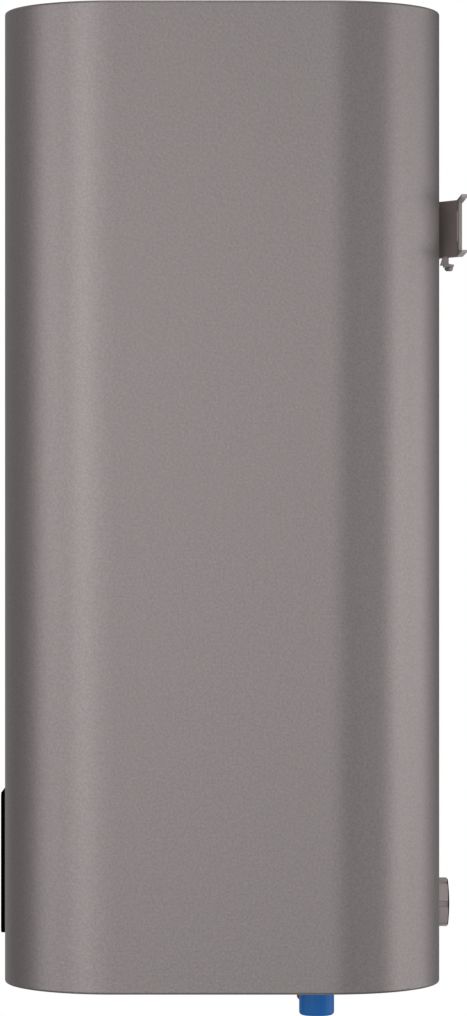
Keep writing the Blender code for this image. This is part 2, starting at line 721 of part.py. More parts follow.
def build_covers(materials):
    """Top cover, and bottom cover with its bosses and holes."""
    build_cover("top_cover", CASE_TOP_Z, 1, materials["grey_plastic"])
    cover = build_cover("bottom_cover", CASE_BOTTOM_Z, -1, materials["grey_plastic"])
    outer_z = CASE_BOTTOM_Z + COVER_DROP
    seat_z = CASE_BOTTOM_Z + SEAT_DROP
    below = CASE_BOTTOM_Z - OVERRUN
    above = COVER_INNER_Z + OVERRUN
    for x, y in cover_screw_places():
        boss_low = outer_z + COVER_WALL / 2
        join(cover, cylinder("cover_boss", SCREW_BOSS_RADIUS, (x, y, boss_low), (x, y, seat_z - FIT_GAP)))
    for x, y in cover_screw_places():
        hole_radius = COVER_SCREW_RADIUS + FIT_GAP
        cut(cover, cylinder("cover_screw_hole", hole_radius, (x, y, below), (x, y, seat_z + OVERRUN)))
    grommet_hole = PIPE_RADIUS + FIT_GAP + GROMMET_WALL + FIT_GAP
    for x in (-PIPE_SPACING / 2, PIPE_SPACING / 2):
        pipe_low = (x, PIPE_Y, below)
        cut(cover, cylinder("cover_pipe_hole", grommet_hole, pipe_low, (x, PIPE_Y, above), ROUND_STEPS))
    gland_y = CASE_MID_Y + GLAND_FROM_MIDDLE
    gland_hole = GLAND_THREAD_RADIUS + FIT_GAP
    gland_low = (GLAND_X, gland_y, below)
    cut(cover, cylinder("cover_gland_hole", gland_hole, gland_low, (GLAND_X, gland_y, above), GLAND_STEPS))
    reset_y = CASE_MID_Y + CUTOUT_FROM_MIDDLE
    reset_low = (CUTOUT_X, reset_y, below)
    cut(cover, cylinder("cover_reset_hole", RESET_RADIUS + FIT_GAP, reset_low, (CUTOUT_X, reset_y, above)))


def build_cover_screws(materials):
    """Pan-head screws of the bottom cover."""
    for index, (x, y) in enumerate(cover_screw_places(), start=1):
        head = COVER_SCREW_HEAD_RADIUS
        shank = COVER_SCREW_RADIUS
        profile = [
            (0, COVER_SCREW_LENGTH),
            (shank * COVER_SCREW_TIP_SHARE, COVER_SCREW_LENGTH),
            (shank, COVER_SCREW_LENGTH - shank),
            (shank, 0),
            (head, 0),
            (head, -COVER_SCREW_HEAD * COVER_SCREW_RIM_SHARE),
            (head * COVER_SCREW_CROWN_SHARE, -COVER_SCREW_HEAD),
            (0, -COVER_SCREW_HEAD),
        ]
        base = (x, y, CASE_BOTTOM_Z + COVER_DROP - FIT_GAP)
        name = "bottom_screw_" + str(index)
        turned(name, profile, base, steps=SMALL_STEPS, material=materials["zinc_steel"])


def strap_half_path():
    """Right half of the strap's middle line in plan: flat on the casing, joggled out to the web."""
    return [
        (STRAP_FLAT_HALF, STRAP_FLAT_Y),
        (STRAP_JOGGLE_X, STRAP_WEB_Y),
        (STRAP_END_X, STRAP_WEB_Y),
    ]


def lock_tab_place(side):
    """Plan place of a lock tab, on the middle line of the strap's joggle."""
    x = STRAP_FLAT_HALF + TAB_PLACE_SHARE * (STRAP_JOGGLE_X - STRAP_FLAT_HALF)
    y = STRAP_FLAT_Y + TAB_PLACE_SHARE * (STRAP_WEB_Y - STRAP_FLAT_Y)
    return side * x, y


def lock_screw_place(side):
    """Place of a lock screw's head seat, under its tab's foot."""
    x, y = lock_tab_place(side)
    return x - side * LOCK_SCREW_FROM_TAB, y + LOCK_SCREW_REACH, -STRAP_HEIGHT / 2 - TAB_DROP


def add_lock_tab(bracket, side):
    """A gusset under the joggle, square to the heater's side, with an inward foot for the lock screw."""
    x, y = lock_tab_place(side)
    bottom = -STRAP_HEIGHT / 2
    foot_low = bottom - TAB_DROP
    gusset_low = foot_low + FOOT_SHEET / 2
    outline = [
        (y - TAB_LOW_REACH, gusset_low),
        (y + TAB_WALL_REACH, gusset_low),
        (y + TAB_WALL_REACH, bottom + TAB_ROOT),
        (y, bottom + TAB_ROOT),
        (y - TAB_TOP_REACH, bottom),
    ]
    gusset = plate("lock_tab", [outline], TAB_SHEET, (x, 0, 0), upright=True)
    gusset.rotation_euler.z = math.pi / 2
    join(bracket, gusset)
    ends = sorted((x + side * TAB_SHEET, x - side * FOOT_LENGTH))
    low = (ends[0], y - FOOT_CASE_REACH, foot_low)
    high = (ends[1], y + FOOT_WALL_REACH, foot_low + FOOT_SHEET)
    join(bracket, box("lock_tab_foot", low, high))
    screw_x, screw_y, seat_z = lock_screw_place(side)
    start = (screw_x, screw_y, seat_z - OVERRUN)
    end = (screw_x, screw_y, seat_z + FOOT_SHEET + OVERRUN)
    cut(bracket, cylinder("lock_screw_hole", LOCK_SCREW_RADIUS + FIT_GAP, start, end))


def fork_slot_outline():
    """Outline of the right fork's open slot: round upper corner, and a floor that sinks towards the tip."""
    half = STRAP_HEIGHT / 2
    roof = half - LIP_SHEET + SLOT_LIP_CUT
    radius = SLOT_CORNER_RADIUS
    points = [
        (STRAP_WEB_X, FORK_ROOT_HEIGHT - half),
        (STRAP_END_X, FORK_TIP_HEIGHT - half),
        (STRAP_END_X + OVERRUN, FORK_TIP_HEIGHT - half),
        (STRAP_END_X + OVERRUN, roof),
    ]
    for step in range(PANEL_CORNER_STEPS + 1):
        turn = math.pi / 2 * step / PANEL_CORNER_STEPS
        points.append((STRAP_WEB_X + radius * (1 - math.sin(turn)), roof - radius * (1 - math.cos(turn))))
    return points


def build_wall_bracket(materials):
    """Joggled strap with lipped fork ends, lock tabs and bolt holes."""
    outline = ribbon(bent_path(mirrored_path(strap_half_path()), STRAP_BEND_RADIUS), STRAP_SHEET)
    bracket = plate("wall_bracket", [outline], STRAP_HEIGHT, (0, 0, 0), material=materials["bracket_steel"])
    half = STRAP_HEIGHT / 2
    for side in (-1, 1):
        for end in (-1, 1):
            inner = min(end * half, end * (half - LIP_SHEET))
            outer = max(end * half, end * (half - LIP_SHEET))
            low = (min(side * STRAP_JOGGLE_X, side * STRAP_END_X), -LIP_DEPTH, inner)
            high = (max(side * STRAP_JOGGLE_X, side * STRAP_END_X), 0, outer)
            join(bracket, box("fork_lip", low, high))
    for side in (-1, 1):
        slot = [(side * x, z) for x, z in fork_slot_outline()][::side]
        cut(bracket, plate("fork_slot", [slot], 2 * LIP_DEPTH + OVERRUN, (0, STRAP_WEB_Y, 0), upright=True))
        add_lock_tab(bracket, side)
    for x in BOLT_PLACES_X:
        start = (x, CASE_BACK_Y - OVERRUN, 0)
        end = (x, STRAP_FLAT_Y + STRAP_SHEET + OVERRUN, 0)
        cut(bracket, cylinder("strap_bolt_hole", BOLT_RADIUS + FIT_GAP, start, end))


def build_lock_screws(materials):
    """Round-headed screws driven from below through the feet of the bracket's lock tabs."""
    head = LOCK_SCREW_HEAD_RADIUS
    bottom = FIT_GAP + LOCK_SCREW_HEAD
    tip = -FOOT_SHEET - LOCK_SCREW_TIP
    profile = [
        (0, bottom),
        (head * LOCK_SCREW_CROWN_SHARE, bottom),
        (head, bottom - LOCK_SCREW_HEAD * LOCK_SCREW_RIM_SHARE),
        (head, FIT_GAP),
        (LOCK_SCREW_RADIUS, FIT_GAP),
        (LOCK_SCREW_RADIUS, tip),
        (0, tip),
    ]
    for name, side in (("lock_screw_left", -1), ("lock_screw_right", 1)):
        turned(name, profile, lock_screw_place(side), (0, 0, -1), SMALL_STEPS, materials["zinc_steel"])


def build_bracket_bolts(materials):
    """Hexagon-head bolts that hold the bracket through the casing to the hanger."""
    seat_y = STRAP_FLAT_Y + STRAP_SHEET / 2 + FIT_GAP
    for index, x in enumerate(BOLT_PLACES_X, start=1):
        name = "bracket_bolt_" + str(index)
        head = cylinder(name, BOLT_HEAD_RADIUS, (x, seat_y, 0), (x, seat_y + BOLT_HEAD, 0), HEX_STEPS,
                        materials["zinc_steel"])
        start = (x, seat_y - BOLT_LENGTH, 0)
        join(head, cylinder(name + "_shank", BOLT_RADIUS, start, (x, seat_y + BOLT_HEAD / 2, 0)))


def hanger_path():
    """Plan line of the hanger: flat behind the casing's back, with a leg and a foot to each tank."""
    foot_outer = TANK_SPREAD + HANGER_FOOT_HALF
    foot_inner = TANK_SPREAD - HANGER_FOOT_HALF
    half = [
        (HANGER_FLAT_HALF, HANGER_FLAT_Y),
        (foot_inner, HANGER_FOOT_Y),
        (foot_outer, HANGER_FOOT_Y),
    ]
    return mirrored_path(half)


def build_hanger(materials):
    """Bent strip that carries both tanks and takes the bracket's bolts in weld nuts."""
    outline = ribbon(hanger_path(), HANGER_SHEET)
    hanger = plate("tank_hanger", [outline], HANGER_HEIGHT, (0, 0, 0), material=materials["zinc_steel"])
    face = HANGER_FLAT_Y - HANGER_SHEET / 2
    for x in BOLT_PLACES_X:
        nut_start = (x, face - WELD_NUT, 0)
        join(hanger, cylinder("weld_nut", WELD_NUT_RADIUS, nut_start, (x, HANGER_FLAT_Y, 0), HEX_STEPS))
    for x in BOLT_PLACES_X:
        start = (x, face - WELD_NUT - OVERRUN, 0)
        end = (x, CASE_INNER_BACK_Y + OVERRUN, 0)
        cut(hanger, cylinder("weld_nut_bore", BOLT_RADIUS + FIT_GAP, start, end))


def fluted_outline():
    """Round outline with narrow flutes cut straight into it at equal turns."""
    points = []
    half_turn = math.asin(FLUTE_HALF_WIDTH / SPACER_RADIUS)
    pitch = 2 * math.pi / FLUTE_COUNT
    for flute in range(FLUTE_COUNT):
        middle = flute * pitch
        floor = SPACER_RADIUS - FLUTE_DEPTH
        floor_turn = half_turn * FLUTE_FLOOR_SHARE
        for turn in (middle - floor_turn, middle + floor_turn):
            points.append((floor * math.cos(turn), floor * math.sin(turn)))
        first = middle + half_turn
        last = middle + pitch - half_turn
        for step in range(FLUTE_LAND_STEPS + 1):
            turn = first + (last - first) * step / FLUTE_LAND_STEPS
            points.append((SPACER_RADIUS * math.cos(turn), SPACER_RADIUS * math.sin(turn)))
    return points


def build_spacer(materials):
    """Wall spacer: fixed stud, screwing knob and its sliding pad."""
    reach = STUD_REACH + CASE_SHEET + FIT_GAP
    chamfer = STUD_RADIUS * STUD_CHAMFER_SHARE
    profile = [
        (0, reach),
        (STUD_RADIUS - chamfer, reach),
        (STUD_RADIUS, reach - chamfer),
        (STUD_RADIUS, 0),
        (STUD_FLANGE_RADIUS, 0),
        (STUD_FLANGE_RADIUS, -STUD_FLANGE),
        (0, -STUD_FLANGE),
    ]
    base = (0, CASE_INNER_BACK_Y - FIT_GAP, SPACER_Z)
    turned("spacer_stud", profile, base, (0, 1, 0), SMALL_STEPS, materials["zinc_steel"])
    centre = (0, SPACER_BASE_Y + SPACER_DEPTH / 2, SPACER_Z)
    knob = plate("spacer_knob", [fluted_outline()], SPACER_DEPTH, centre, True, materials["grey_plastic"])
    bore = STUD_RADIUS + STUD_BORE_GAP
    bore_start = (0, SPACER_BASE_Y - OVERRUN, SPACER_Z)
    bore_end = (0, SPACER_BASE_Y + KNOB_BORE_DEPTH, SPACER_Z)
    cut(knob, cylinder("knob_bore", bore, bore_start, bore_end, ROUND_STEPS))
    pad = [(0, PAD_RIM + PAD_DOME)]
    for step in range(1, DOME_STEPS):
        share = step / (DOME_STEPS - 1)
        pad.append((PAD_RADIUS * share, PAD_RIM + PAD_DOME * (1 - share * share)))
    pad += [(PAD_RADIUS, 0), (0, 0)]
    pad_base = (0, SPACER_TOP_Y + FIT_GAP, SPACER_Z)
    turned("spacer_pad", pad, pad_base, (0, 1, 0), ROUND_STEPS, materials["black_plastic"])


def dome(radius, depth, from_axis=0.0):
    """Points (radius, rise) of a domed end, from near its axis out to its rim."""
    start = math.asin(from_axis / radius)
    turns = [start + (math.pi / 2 - start) * step / DOME_STEPS for step in range(DOME_STEPS + 1)]
    return [(radius * math.sin(turn), depth * math.cos(turn)) for turn in turns]


def tank_profile():
    """Section of a tank from the outer crown down to its neck, and back up inside."""
    inner_radius = TANK_RADIUS - TANK_SHEET
    inner_dome = TANK_DOME - TANK_SHEET
    rim_top = TANK_HEIGHT - TANK_DOME
    outer = [(radius, rim_top + rise) for radius, rise in dome(TANK_RADIUS, TANK_DOME)]
    outer += [(radius, TANK_DOME - rise) for radius, rise in dome(TANK_RADIUS, TANK_DOME, NECK_RADIUS)[::-1]]
    neck = [(NECK_RADIUS, -NECK_LENGTH), (NECK_BORE_RADIUS, -NECK_LENGTH)]
    inner = [(radius, TANK_DOME - rise) for radius, rise in dome(inner_radius, inner_dome, NECK_BORE_RADIUS)]
    inner += [(radius, rim_top + rise) for radius, rise in dome(inner_radius, inner_dome)[::-1]]
    return outer + neck + inner


def pipe_entry(side):
    """Plan place where the water pipe of one side enters its tank."""
    return (side * (TANK_SPREAD - PIPE_ENTRY_FROM_TANK), CASE_MID_Y + PIPE_ENTRY_FROM_MIDDLE)


def transfer_entry(side):
    """Plan place where the transfer pipe enters the tank of one side."""
    return (side * (TANK_SPREAD - TRANSFER_ENTRY_FROM_TANK), CASE_MID_Y + TRANSFER_FROM_MIDDLE)


def build_tanks(materials):
    """Two stainless tanks with domed ends, a threaded neck and two pipe holes each."""
    for name, side in (("tank_left", -1), ("tank_right", 1)):
        base = (side * TANK_SPREAD, CASE_MID_Y, TANK_BOTTOM_Z)
        tank = turned(name, tank_profile(), base, material=materials["stainless"])
        holes = ((pipe_entry(side), PIPE_RADIUS), (transfer_entry(side), TRANSFER_RADIUS))
        for (x, y), radius in holes:
            start = (x, y, TANK_BOTTOM_Z - OVERRUN)
            end = (x, y, TANK_BOTTOM_Z + 2 * TANK_DOME)
            cut(tank, cylinder(name + "_pipe_hole", radius + FIT_GAP, start, end, ROUND_STEPS))


def water_pipe_points(side, top_z):
    """A pipe's middle line: up from its end, over in an even S to its tank, and up to its top."""
    start_z = COVER_INNER_Z + PIPE_BEND_START
    entry_x, entry_y = pipe_entry(side)
    from_x = side * PIPE_SPACING / 2
    points = [Vector((from_x, PIPE_Y, PIPE_END_Z))]
    for step in range(PIPE_BEND_POINTS):
        share = step / (PIPE_BEND_POINTS - 1)
        across = (1 - math.cos(math.pi * share)) / 2
        x = from_x + across * (entry_x - from_x)
        y = PIPE_Y + across * (entry_y - PIPE_Y)
        points.append(Vector((x, y, start_z + share * PIPE_BEND_RISE)))
    points.append(Vector((entry_x, entry_y, top_z)))
    return points


def build_water_pipes(materials):
    """Cold inlet with its diffuser, and hot outlet that draws from the top of its tank."""
    cold_top = TANK_BOTTOM_Z + TANK_DOME + COLD_PIPE_RISE
    hot_top = TANK_TOP_Z - TANK_SHEET - HOT_PIPE_CLEARANCE
    hollow_tube("cold_pipe", water_pipe_points(1, cold_top), PIPE_RADIUS, PIPE_WALL, materials["brass"])
    hollow_tube("hot_pipe", water_pipe_points(-1, hot_top), PIPE_RADIUS, PIPE_WALL, materials["brass"])
    inner = PIPE_RADIUS + FIT_GAP
    outer = inner + DIFFUSER_WALL
    roof = DIFFUSER_HEIGHT
    profile = [
        (0, roof),
        (outer - DIFFUSER_WALL, roof),
        (outer, roof - DIFFUSER_WALL),
        (outer, 0),
        (inner, 0),
        (inner, roof - 2 * DIFFUSER_WALL),
        (0, roof - DIFFUSER_WALL),
    ]
    x, y = pipe_entry(1)
    skirt = COLD_PIPE_RISE * DIFFUSER_SKIRT_SHARE
    diffuser = turned("cold_diffuser", profile, (x, y, cold_top - skirt), material=materials["white_plastic"])
    slot_low = cold_top + FIT_GAP + DIFFUSER_WALL
    slot_high = slot_low + DIFFUSER_SLOT_HEIGHT
    reach = outer + OVERRUN
    half = DIFFUSER_SLOT_WIDTH / 2
    cut(diffuser, box("diffuser_slot_x", (x - reach, y - half, slot_low), (x + reach, y + half, slot_high)))
    cut(diffuser, box("diffuser_slot_y", (x - half, y - reach, slot_low), (x + half, y + reach, slot_high)))


def build_pipe_trim(materials):
    """Rubber grommets in the bottom cover, and a push-on cap over each pipe's end."""
    bore = PIPE_RADIUS + FIT_GAP
    body = bore + GROMMET_WALL
    grommet_low = CASE_BOTTOM_Z + COVER_DROP + COVER_STEP
    flange_low = COVER_INNER_Z + FIT_GAP - grommet_low
    flange_high = flange_low + GROMMET_FLANGE_HEIGHT
    grommet = closed([
        (body + GROMMET_FLANGE, flange_high),
        (body + GROMMET_FLANGE, flange_low),
        (body, flange_low),
        (body, 0),
        (bore, 0),
        (bore, flange_high),
    ])
    inner = PIPE_RADIUS + CAP_GAP
    outer = inner + CAP_WALL
    cap = [(0, CAP_FLOOR), (inner, CAP_FLOOR), (inner, CAP_LENGTH), (outer, CAP_LENGTH)]
    for step in range(CAP_EDGE_STEPS + 1):
        turn = math.pi / 2 * step / CAP_EDGE_STEPS
        edge_x = outer - CAP_EDGE_RADIUS * (1 - math.cos(turn))
        cap.append((edge_x, CAP_EDGE_RADIUS * (1 - math.sin(turn))))
    cap.append((0, 0))
    cap_z = PIPE_END_Z - FIT_GAP - CAP_FLOOR
    for side, name, cap_material in ((1, "cold", "blue_plastic"), (-1, "hot", "red_plastic")):
        x = side * PIPE_SPACING / 2
        turned(name + "_grommet", grommet, (x, PIPE_Y, grommet_low), material=materials["rubber"])
        turned(name + "_cap", cap, (x, PIPE_Y, cap_z), material=materials[cap_material])


def build_transfer_pipe(materials):
    """Pipe that leads the right tank's upper water into the foot of the left tank."""
    right_x, y = transfer_entry(1)
    left_x = transfer_entry(-1)[0]
    low_z = TANK_BOTTOM_Z - TRANSFER_DROP
    bend = TRANSFER_BEND_RADIUS
    points = [Vector((right_x, y, TANK_TOP_Z - TANK_SHEET - HOT_PIPE_CLEARANCE))]
    for centre_x, side, turns in ((right_x - bend, 1, (0.0, 0.5)), (left_x + bend, -1, (0.5, 0.0))):
        for step in range(TRANSFER_BEND_STEPS + 1):
            turn = math.pi * (turns[0] + (turns[1] - turns[0]) * step / TRANSFER_BEND_STEPS)
            x = centre_x + side * bend * math.cos(turn)
            points.append(Vector((x, y, low_z + bend * (1 - math.sin(turn)))))
    points.append(Vector((left_x, y, TANK_BOTTOM_Z + TANK_DOME + TRANSFER_OUTLET_RISE)))
    hollow_tube("transfer_pipe", points, TRANSFER_RADIUS, TRANSFER_WALL, materials["stainless"])


def build_plug_set(side_name, side, materials):
    """One tank's plug, gasket, heating element, anode and sensor pocket."""
    axis_x = side * TANK_SPREAD
    axis_y = CASE_MID_Y
    flats_radius = PLUG_FLATS / 2 / math.cos(math.pi / 6)
    plug = cylinder("plug_" + side_name, flats_radius, (axis_x, axis_y, PLUG_HEAD_BOTTOM_Z),
                    (axis_x, axis_y, PLUG_HEAD_TOP_Z), HEX_STEPS, materials["brass"])
    thread_top = NECK_BOTTOM_Z + PLUG_THREAD_LENGTH
    thread_radius = NECK_BORE_RADIUS - FIT_GAP
    thread_start = (axis_x, axis_y, PLUG_HEAD_BOTTOM_Z + PLUG_HEAD / 2)
    thread_end = (axis_x, axis_y, thread_top)
    join(plug, cylinder("plug_thread", thread_radius, thread_start, thread_end, ROUND_STEPS))
    drill_low = PLUG_HEAD_BOTTOM_Z - OVERRUN
    drill_high = thread_top + OVERRUN
    bores = [
        (-ELEMENT_SPREAD, ELEMENT_FROM_AXIS, ELEMENT_RADIUS),
        (ELEMENT_SPREAD, ELEMENT_FROM_AXIS, ELEMENT_RADIUS),
        (*ANODE_OFFSET, ANODE_STUD_RADIUS),
        (*POCKET_OFFSET, POCKET_RADIUS),
    ]
    for x, y, radius in bores:
        start = (axis_x + x, axis_y + y, drill_low)
        end = (axis_x + x, axis_y + y, drill_high)
        cut(plug, cylinder("plug_bore", radius + FIT_GAP, start, end))
    gasket = closed([
        (NECK_RADIUS, GASKET_THICKNESS),
        (NECK_RADIUS, 0),
        (NECK_BORE_RADIUS, 0),
        (NECK_BORE_RADIUS, GASKET_THICKNESS),
    ])
    gasket_base = (axis_x, axis_y, PLUG_HEAD_TOP_Z + FIT_GAP)
    turned("gasket_" + side_name, gasket, gasket_base, material=materials["rubber"])
    build_element(side_name, axis_x, axis_y, materials)
    build_anode(side_name, axis_x, axis_y, thread_top, materials)
    build_pocket(side_name, axis_x, axis_y, materials)


def build_element(side_name, axis_x, axis_y, materials):
    """Hairpin heating element: two legs through the plug, joined by a half circle."""
    y = axis_y + ELEMENT_FROM_AXIS
    low_z = PLUG_HEAD_BOTTOM_Z - ELEMENT_TAIL
    bend_z = NECK_BOTTOM_Z + ELEMENT_RISE
    points = [Vector((axis_x - ELEMENT_SPREAD, y, low_z))]
    for step in range(ELEMENT_BEND_STEPS + 1):
        turn = math.pi * (1 - step / ELEMENT_BEND_STEPS)
        x = axis_x + ELEMENT_SPREAD * math.cos(turn)
        points.append(Vector((x, y, bend_z + ELEMENT_SPREAD * math.sin(turn))))
    points.append(Vector((axis_x + ELEMENT_SPREAD, y, low_z)))
    tube("heating_element_" + side_name, points, ELEMENT_RADIUS, 2, materials["copper"])


def build_anode(side_name, axis_x, axis_y, thread_top, materials):
    """Magnesium rod on a thin stud that passes the plug."""
    x, y = ANODE_OFFSET
    stud_low = PLUG_HEAD_BOTTOM_Z - POCKET_TAIL
    rod_low = thread_top + FIT_GAP - stud_low
    rod_high = rod_low + ANODE_LENGTH
    chamfer = ANODE_RADIUS * ANODE_CHAMFER_SHARE
    profile = [
        (0, rod_high),
        (ANODE_RADIUS - chamfer, rod_high),
        (ANODE_RADIUS, rod_high - chamfer),
        (ANODE_RADIUS, rod_low),
        (ANODE_STUD_RADIUS, rod_low),
        (ANODE_STUD_RADIUS, 0),
        (0, 0),
    ]
    base = (axis_x + x, axis_y + y, stud_low)
    turned("anode_" + side_name, profile, base, steps=SMALL_STEPS, material=materials["magnesium"])


def build_pocket(side_name, axis_x, axis_y, materials):
    """Thin tube, shut at its top, that holds the temperature sensor."""
    x, y = POCKET_OFFSET
    low_z = PLUG_HEAD_BOTTOM_Z - POCKET_TAIL
    height = NECK_BOTTOM_Z + POCKET_RISE - low_z
    bore = POCKET_RADIUS - POCKET_WALL
    profile = [
        (0, height),
        (bore, height),
        (POCKET_RADIUS, height - POCKET_RADIUS * POCKET_CHAMFER_SHARE),
        (POCKET_RADIUS, 0),
        (bore, 0),
        (bore, height - POCKET_RADIUS),
        (0, height - POCKET_RADIUS),
    ]
    base = (axis_x + x, axis_y + y, low_z)
    turned("sensor_pocket_" + side_name, profile, base, steps=SMALL_STEPS, material=materials["stainless"])


def build_foam(materials):
    """Rigid foam between the casing and the tanks, open towards the room under the tanks."""
    inset = CASE_SHEET + FIT_GAP
    top_z = CASE_TOP_Z - SEAT_DROP - CASE_SHEET - FIT_GAP
    width, depth, radius, _ = case_ring(inset, 0)
    outline = rounded_rectangle(width, depth, radius)
    centre = (0, CASE_MID_Y, (top_z + FOAM_BOTTOM_Z) / 2)
    foam = plate("foam_lagging", [outline], top_z - FOAM_BOTTOM_Z, centre, material=materials["foam"])
    for side in (-1, 1):
        rim_z = TANK_HEIGHT - TANK_DOME
        profile = [
            (radius * (1 + FIT_GAP / TANK_RADIUS), rim_z + rise + FIT_GAP)
            for radius, rise in dome(TANK_RADIUS, TANK_DOME)
        ]
        floor = FOAM_BOTTOM_Z - TANK_BOTTOM_Z - OVERRUN
        profile += [(TANK_RADIUS + FIT_GAP, floor), (0, floor)]
        cut(foam, turned("tank_space", profile, (side * TANK_SPREAD, CASE_MID_Y, TANK_BOTTOM_Z)))
    pocket = plate("hanger_space", [ribbon(widened_hanger_path(), HANGER_SHEET + 2 * FIT_GAP)],
                   HANGER_HEIGHT + 2 * FIT_GAP, (0, 0, 0))
    cut(foam, pocket)
    face = HANGER_FLAT_Y - HANGER_SHEET / 2
    bolt_end = STRAP_FLAT_Y + STRAP_SHEET / 2 + FIT_GAP - BOLT_LENGTH
    nut_low = min(face - WELD_NUT, bolt_end) - FIT_GAP
    for x in BOLT_PLACES_X:
        start = (x, nut_low, 0)
        end = (x, HANGER_FLAT_Y, 0)
        cut(foam, cylinder("nut_space", WELD_NUT_RADIUS + FIT_GAP, start, end, HEX_STEPS))


def widened_hanger_path():
    """The hanger's plan line, lengthened a little at both ends for its space in the foam."""
    path = hanger_path()
    first = (path[0][0] - FIT_GAP, path[0][1])
    last = (path[-1][0] + FIT_GAP, path[-1][1])
    return [first] + path[1:-1] + [last]


def panel_ring(inset, level):
    """The panel's outline drawn in by the inset, at a depth behind the frame's front face."""
    radius = max(PANEL_CORNER_RADIUS - inset, PANEL_CORNER_RADIUS / 2)
    return (PANEL_WIDTH - 2 * inset, PANEL_HEIGHT - 2 * inset, radius, level)


def build_panel(materials):
    """Gloss front of the panel with its button holes, and the moulded frame and tray behind it."""
    outline = rounded_rectangle(PANEL_WIDTH, PANEL_HEIGHT, PANEL_CORNER_RADIUS, PANEL_CORNER_STEPS)
    holes = [circle(x, 0, BUTTON_RADIUS + BUTTON_GAP, BUTTON_STEPS) for x in BUTTON_PLACES_X]
    centre = (0, (GLASS_FRONT_Y + GLASS_BACK_Y) / 2, PANEL_MID_Z)
    plate("panel_front", [outline] + holes, GLASS_THICKNESS, centre, True, materials["black_gloss"])
    rings = [
        panel_ring(FRAME_INSET, 0),
        panel_ring(TRAY_INSET, 0),
        panel_ring(TRAY_INSET, -TRAY_DEPTH),
    ]
    centre = (0, FRAME_FRONT_Y, PANEL_MID_Z)
    ring_shell("panel_frame", rings, FRAME_FLANGE, centre, True, True, PANEL_CORNER_STEPS,
               materials["black_plastic"])


def build_buttons(materials):
    """Push buttons: a face in the panel's hole, a flange behind it and a stem to the switch."""
    face = GLASS_BACK_Y + FIT_GAP
    front = GLASS_FRONT_Y + BUTTON_RECESS
    stem_end = DISPLAY_BOARD_FRONT_Y - SWITCH_HEIGHT - BUTTON_TRAVEL - FIT_GAP
    flange = BUTTON_RADIUS + BUTTON_FLANGE
    profile = [
        (0, 0),
        (BUTTON_STEM_RADIUS, 0),
        (BUTTON_STEM_RADIUS, stem_end - face - BUTTON_FLANGE_HEIGHT),
        (flange, stem_end - face - BUTTON_FLANGE_HEIGHT),
        (flange, stem_end - face),
        (BUTTON_RADIUS, stem_end - face),
        (BUTTON_RADIUS, stem_end - front),
        (0, stem_end - front),
    ]
    for name, x in zip(BUTTON_NAMES, BUTTON_PLACES_X):
        base = (x, stem_end, PANEL_MID_Z)
        turned(name, profile[::-1], base, (0, -1, 0), BUTTON_STEPS, materials["black_plastic"])


def build_display_board(materials):
    """Board in the tray with its display, its push switches and four short legs, as one body."""
    margin = DISPLAY_BOARD_MARGIN
    width = TRAY_WIDTH - 2 * margin
    height = TRAY_HEIGHT - 2 * margin
    back = DISPLAY_BOARD_FRONT_Y + BOARD_THICKNESS
    low = (-width / 2, DISPLAY_BOARD_FRONT_Y, PANEL_MID_Z - height / 2)
    high = (width / 2, back, PANEL_MID_Z + height / 2)
    board = box("display_board", low, high, materials["board_green"])
    display_low = (-DISPLAY_WIDTH / 2, GLASS_BACK_Y + FIT_GAP, PANEL_MID_Z - DISPLAY_HEIGHT / 2)
    display_high = (DISPLAY_WIDTH / 2, DISPLAY_BOARD_FRONT_Y + PART_SINK, PANEL_MID_Z + DISPLAY_HEIGHT / 2)
    join(board, box("display_block", display_low, display_high))
    half = SWITCH_SIZE / 2
    for x in BUTTON_PLACES_X:
        switch_low = (x - half, DISPLAY_BOARD_FRONT_Y - SWITCH_HEIGHT, PANEL_MID_Z - half)
        switch_high = (x + half, DISPLAY_BOARD_FRONT_Y + PART_SINK, PANEL_MID_Z + half)
        join(board, box("switch", switch_low, switch_high))
    for x, z in corner_places(width, height):
        start = (x, DISPLAY_BOARD_FRONT_Y + BOARD_THICKNESS / 2, PANEL_MID_Z + z)
        end = (x, TRAY_FLOOR_Y - FIT_GAP, PANEL_MID_Z + z)
        join(board, cylinder("board_leg", STANDOFF_RADIUS, start, end))


def corner_places(width, height):
    """Places of four legs in the corners of a board."""
    reach_x = width / 2 - STANDOFF_MARGIN
    reach_z = height / 2 - STANDOFF_MARGIN
    return [(side_x * reach_x, side_z * reach_z) for side_x in (-1, 1) for side_z in (-1, 1)]


def build_power_board(materials):
    """Board on the back of the tray with legs, relays, a transformer and connectors, as one body."""
    low = (-POWER_BOARD_WIDTH / 2, POWER_BOARD_FRONT_Y, POWER_BOARD_Z - POWER_BOARD_HEIGHT / 2)
    high = (POWER_BOARD_WIDTH / 2, POWER_BOARD_BACK_Y, POWER_BOARD_Z + POWER_BOARD_HEIGHT / 2)
    board = box("power_board", low, high, materials["board_green"])
    for x, z in corner_places(POWER_BOARD_WIDTH, POWER_BOARD_HEIGHT):
        start = (x, TRAY_BACK_Y + FIT_GAP, POWER_BOARD_Z + z)
        end = (x, POWER_BOARD_FRONT_Y + BOARD_THICKNESS / 2, POWER_BOARD_Z + z)
        join(board, cylinder("power_leg", STANDOFF_RADIUS, start, end))
    bodies = [(x, RELAY_SIZE) for x in RELAY_PLACES_X]
    bodies.append((0, TRANSFORMER_SIZE))
    bodies += [(x, CONNECTOR_SIZE) for x in CONNECTOR_PLACES_X]
    for x, (width, depth, height) in bodies:
        body_low = (x - width / 2, POWER_BOARD_BACK_Y - PART_SINK, POWER_BOARD_Z - height / 2)
        body_high = (x + width / 2, POWER_BOARD_BACK_Y + depth, POWER_BOARD_Z + height / 2)
        join(board, box("board_body", body_low, body_high))


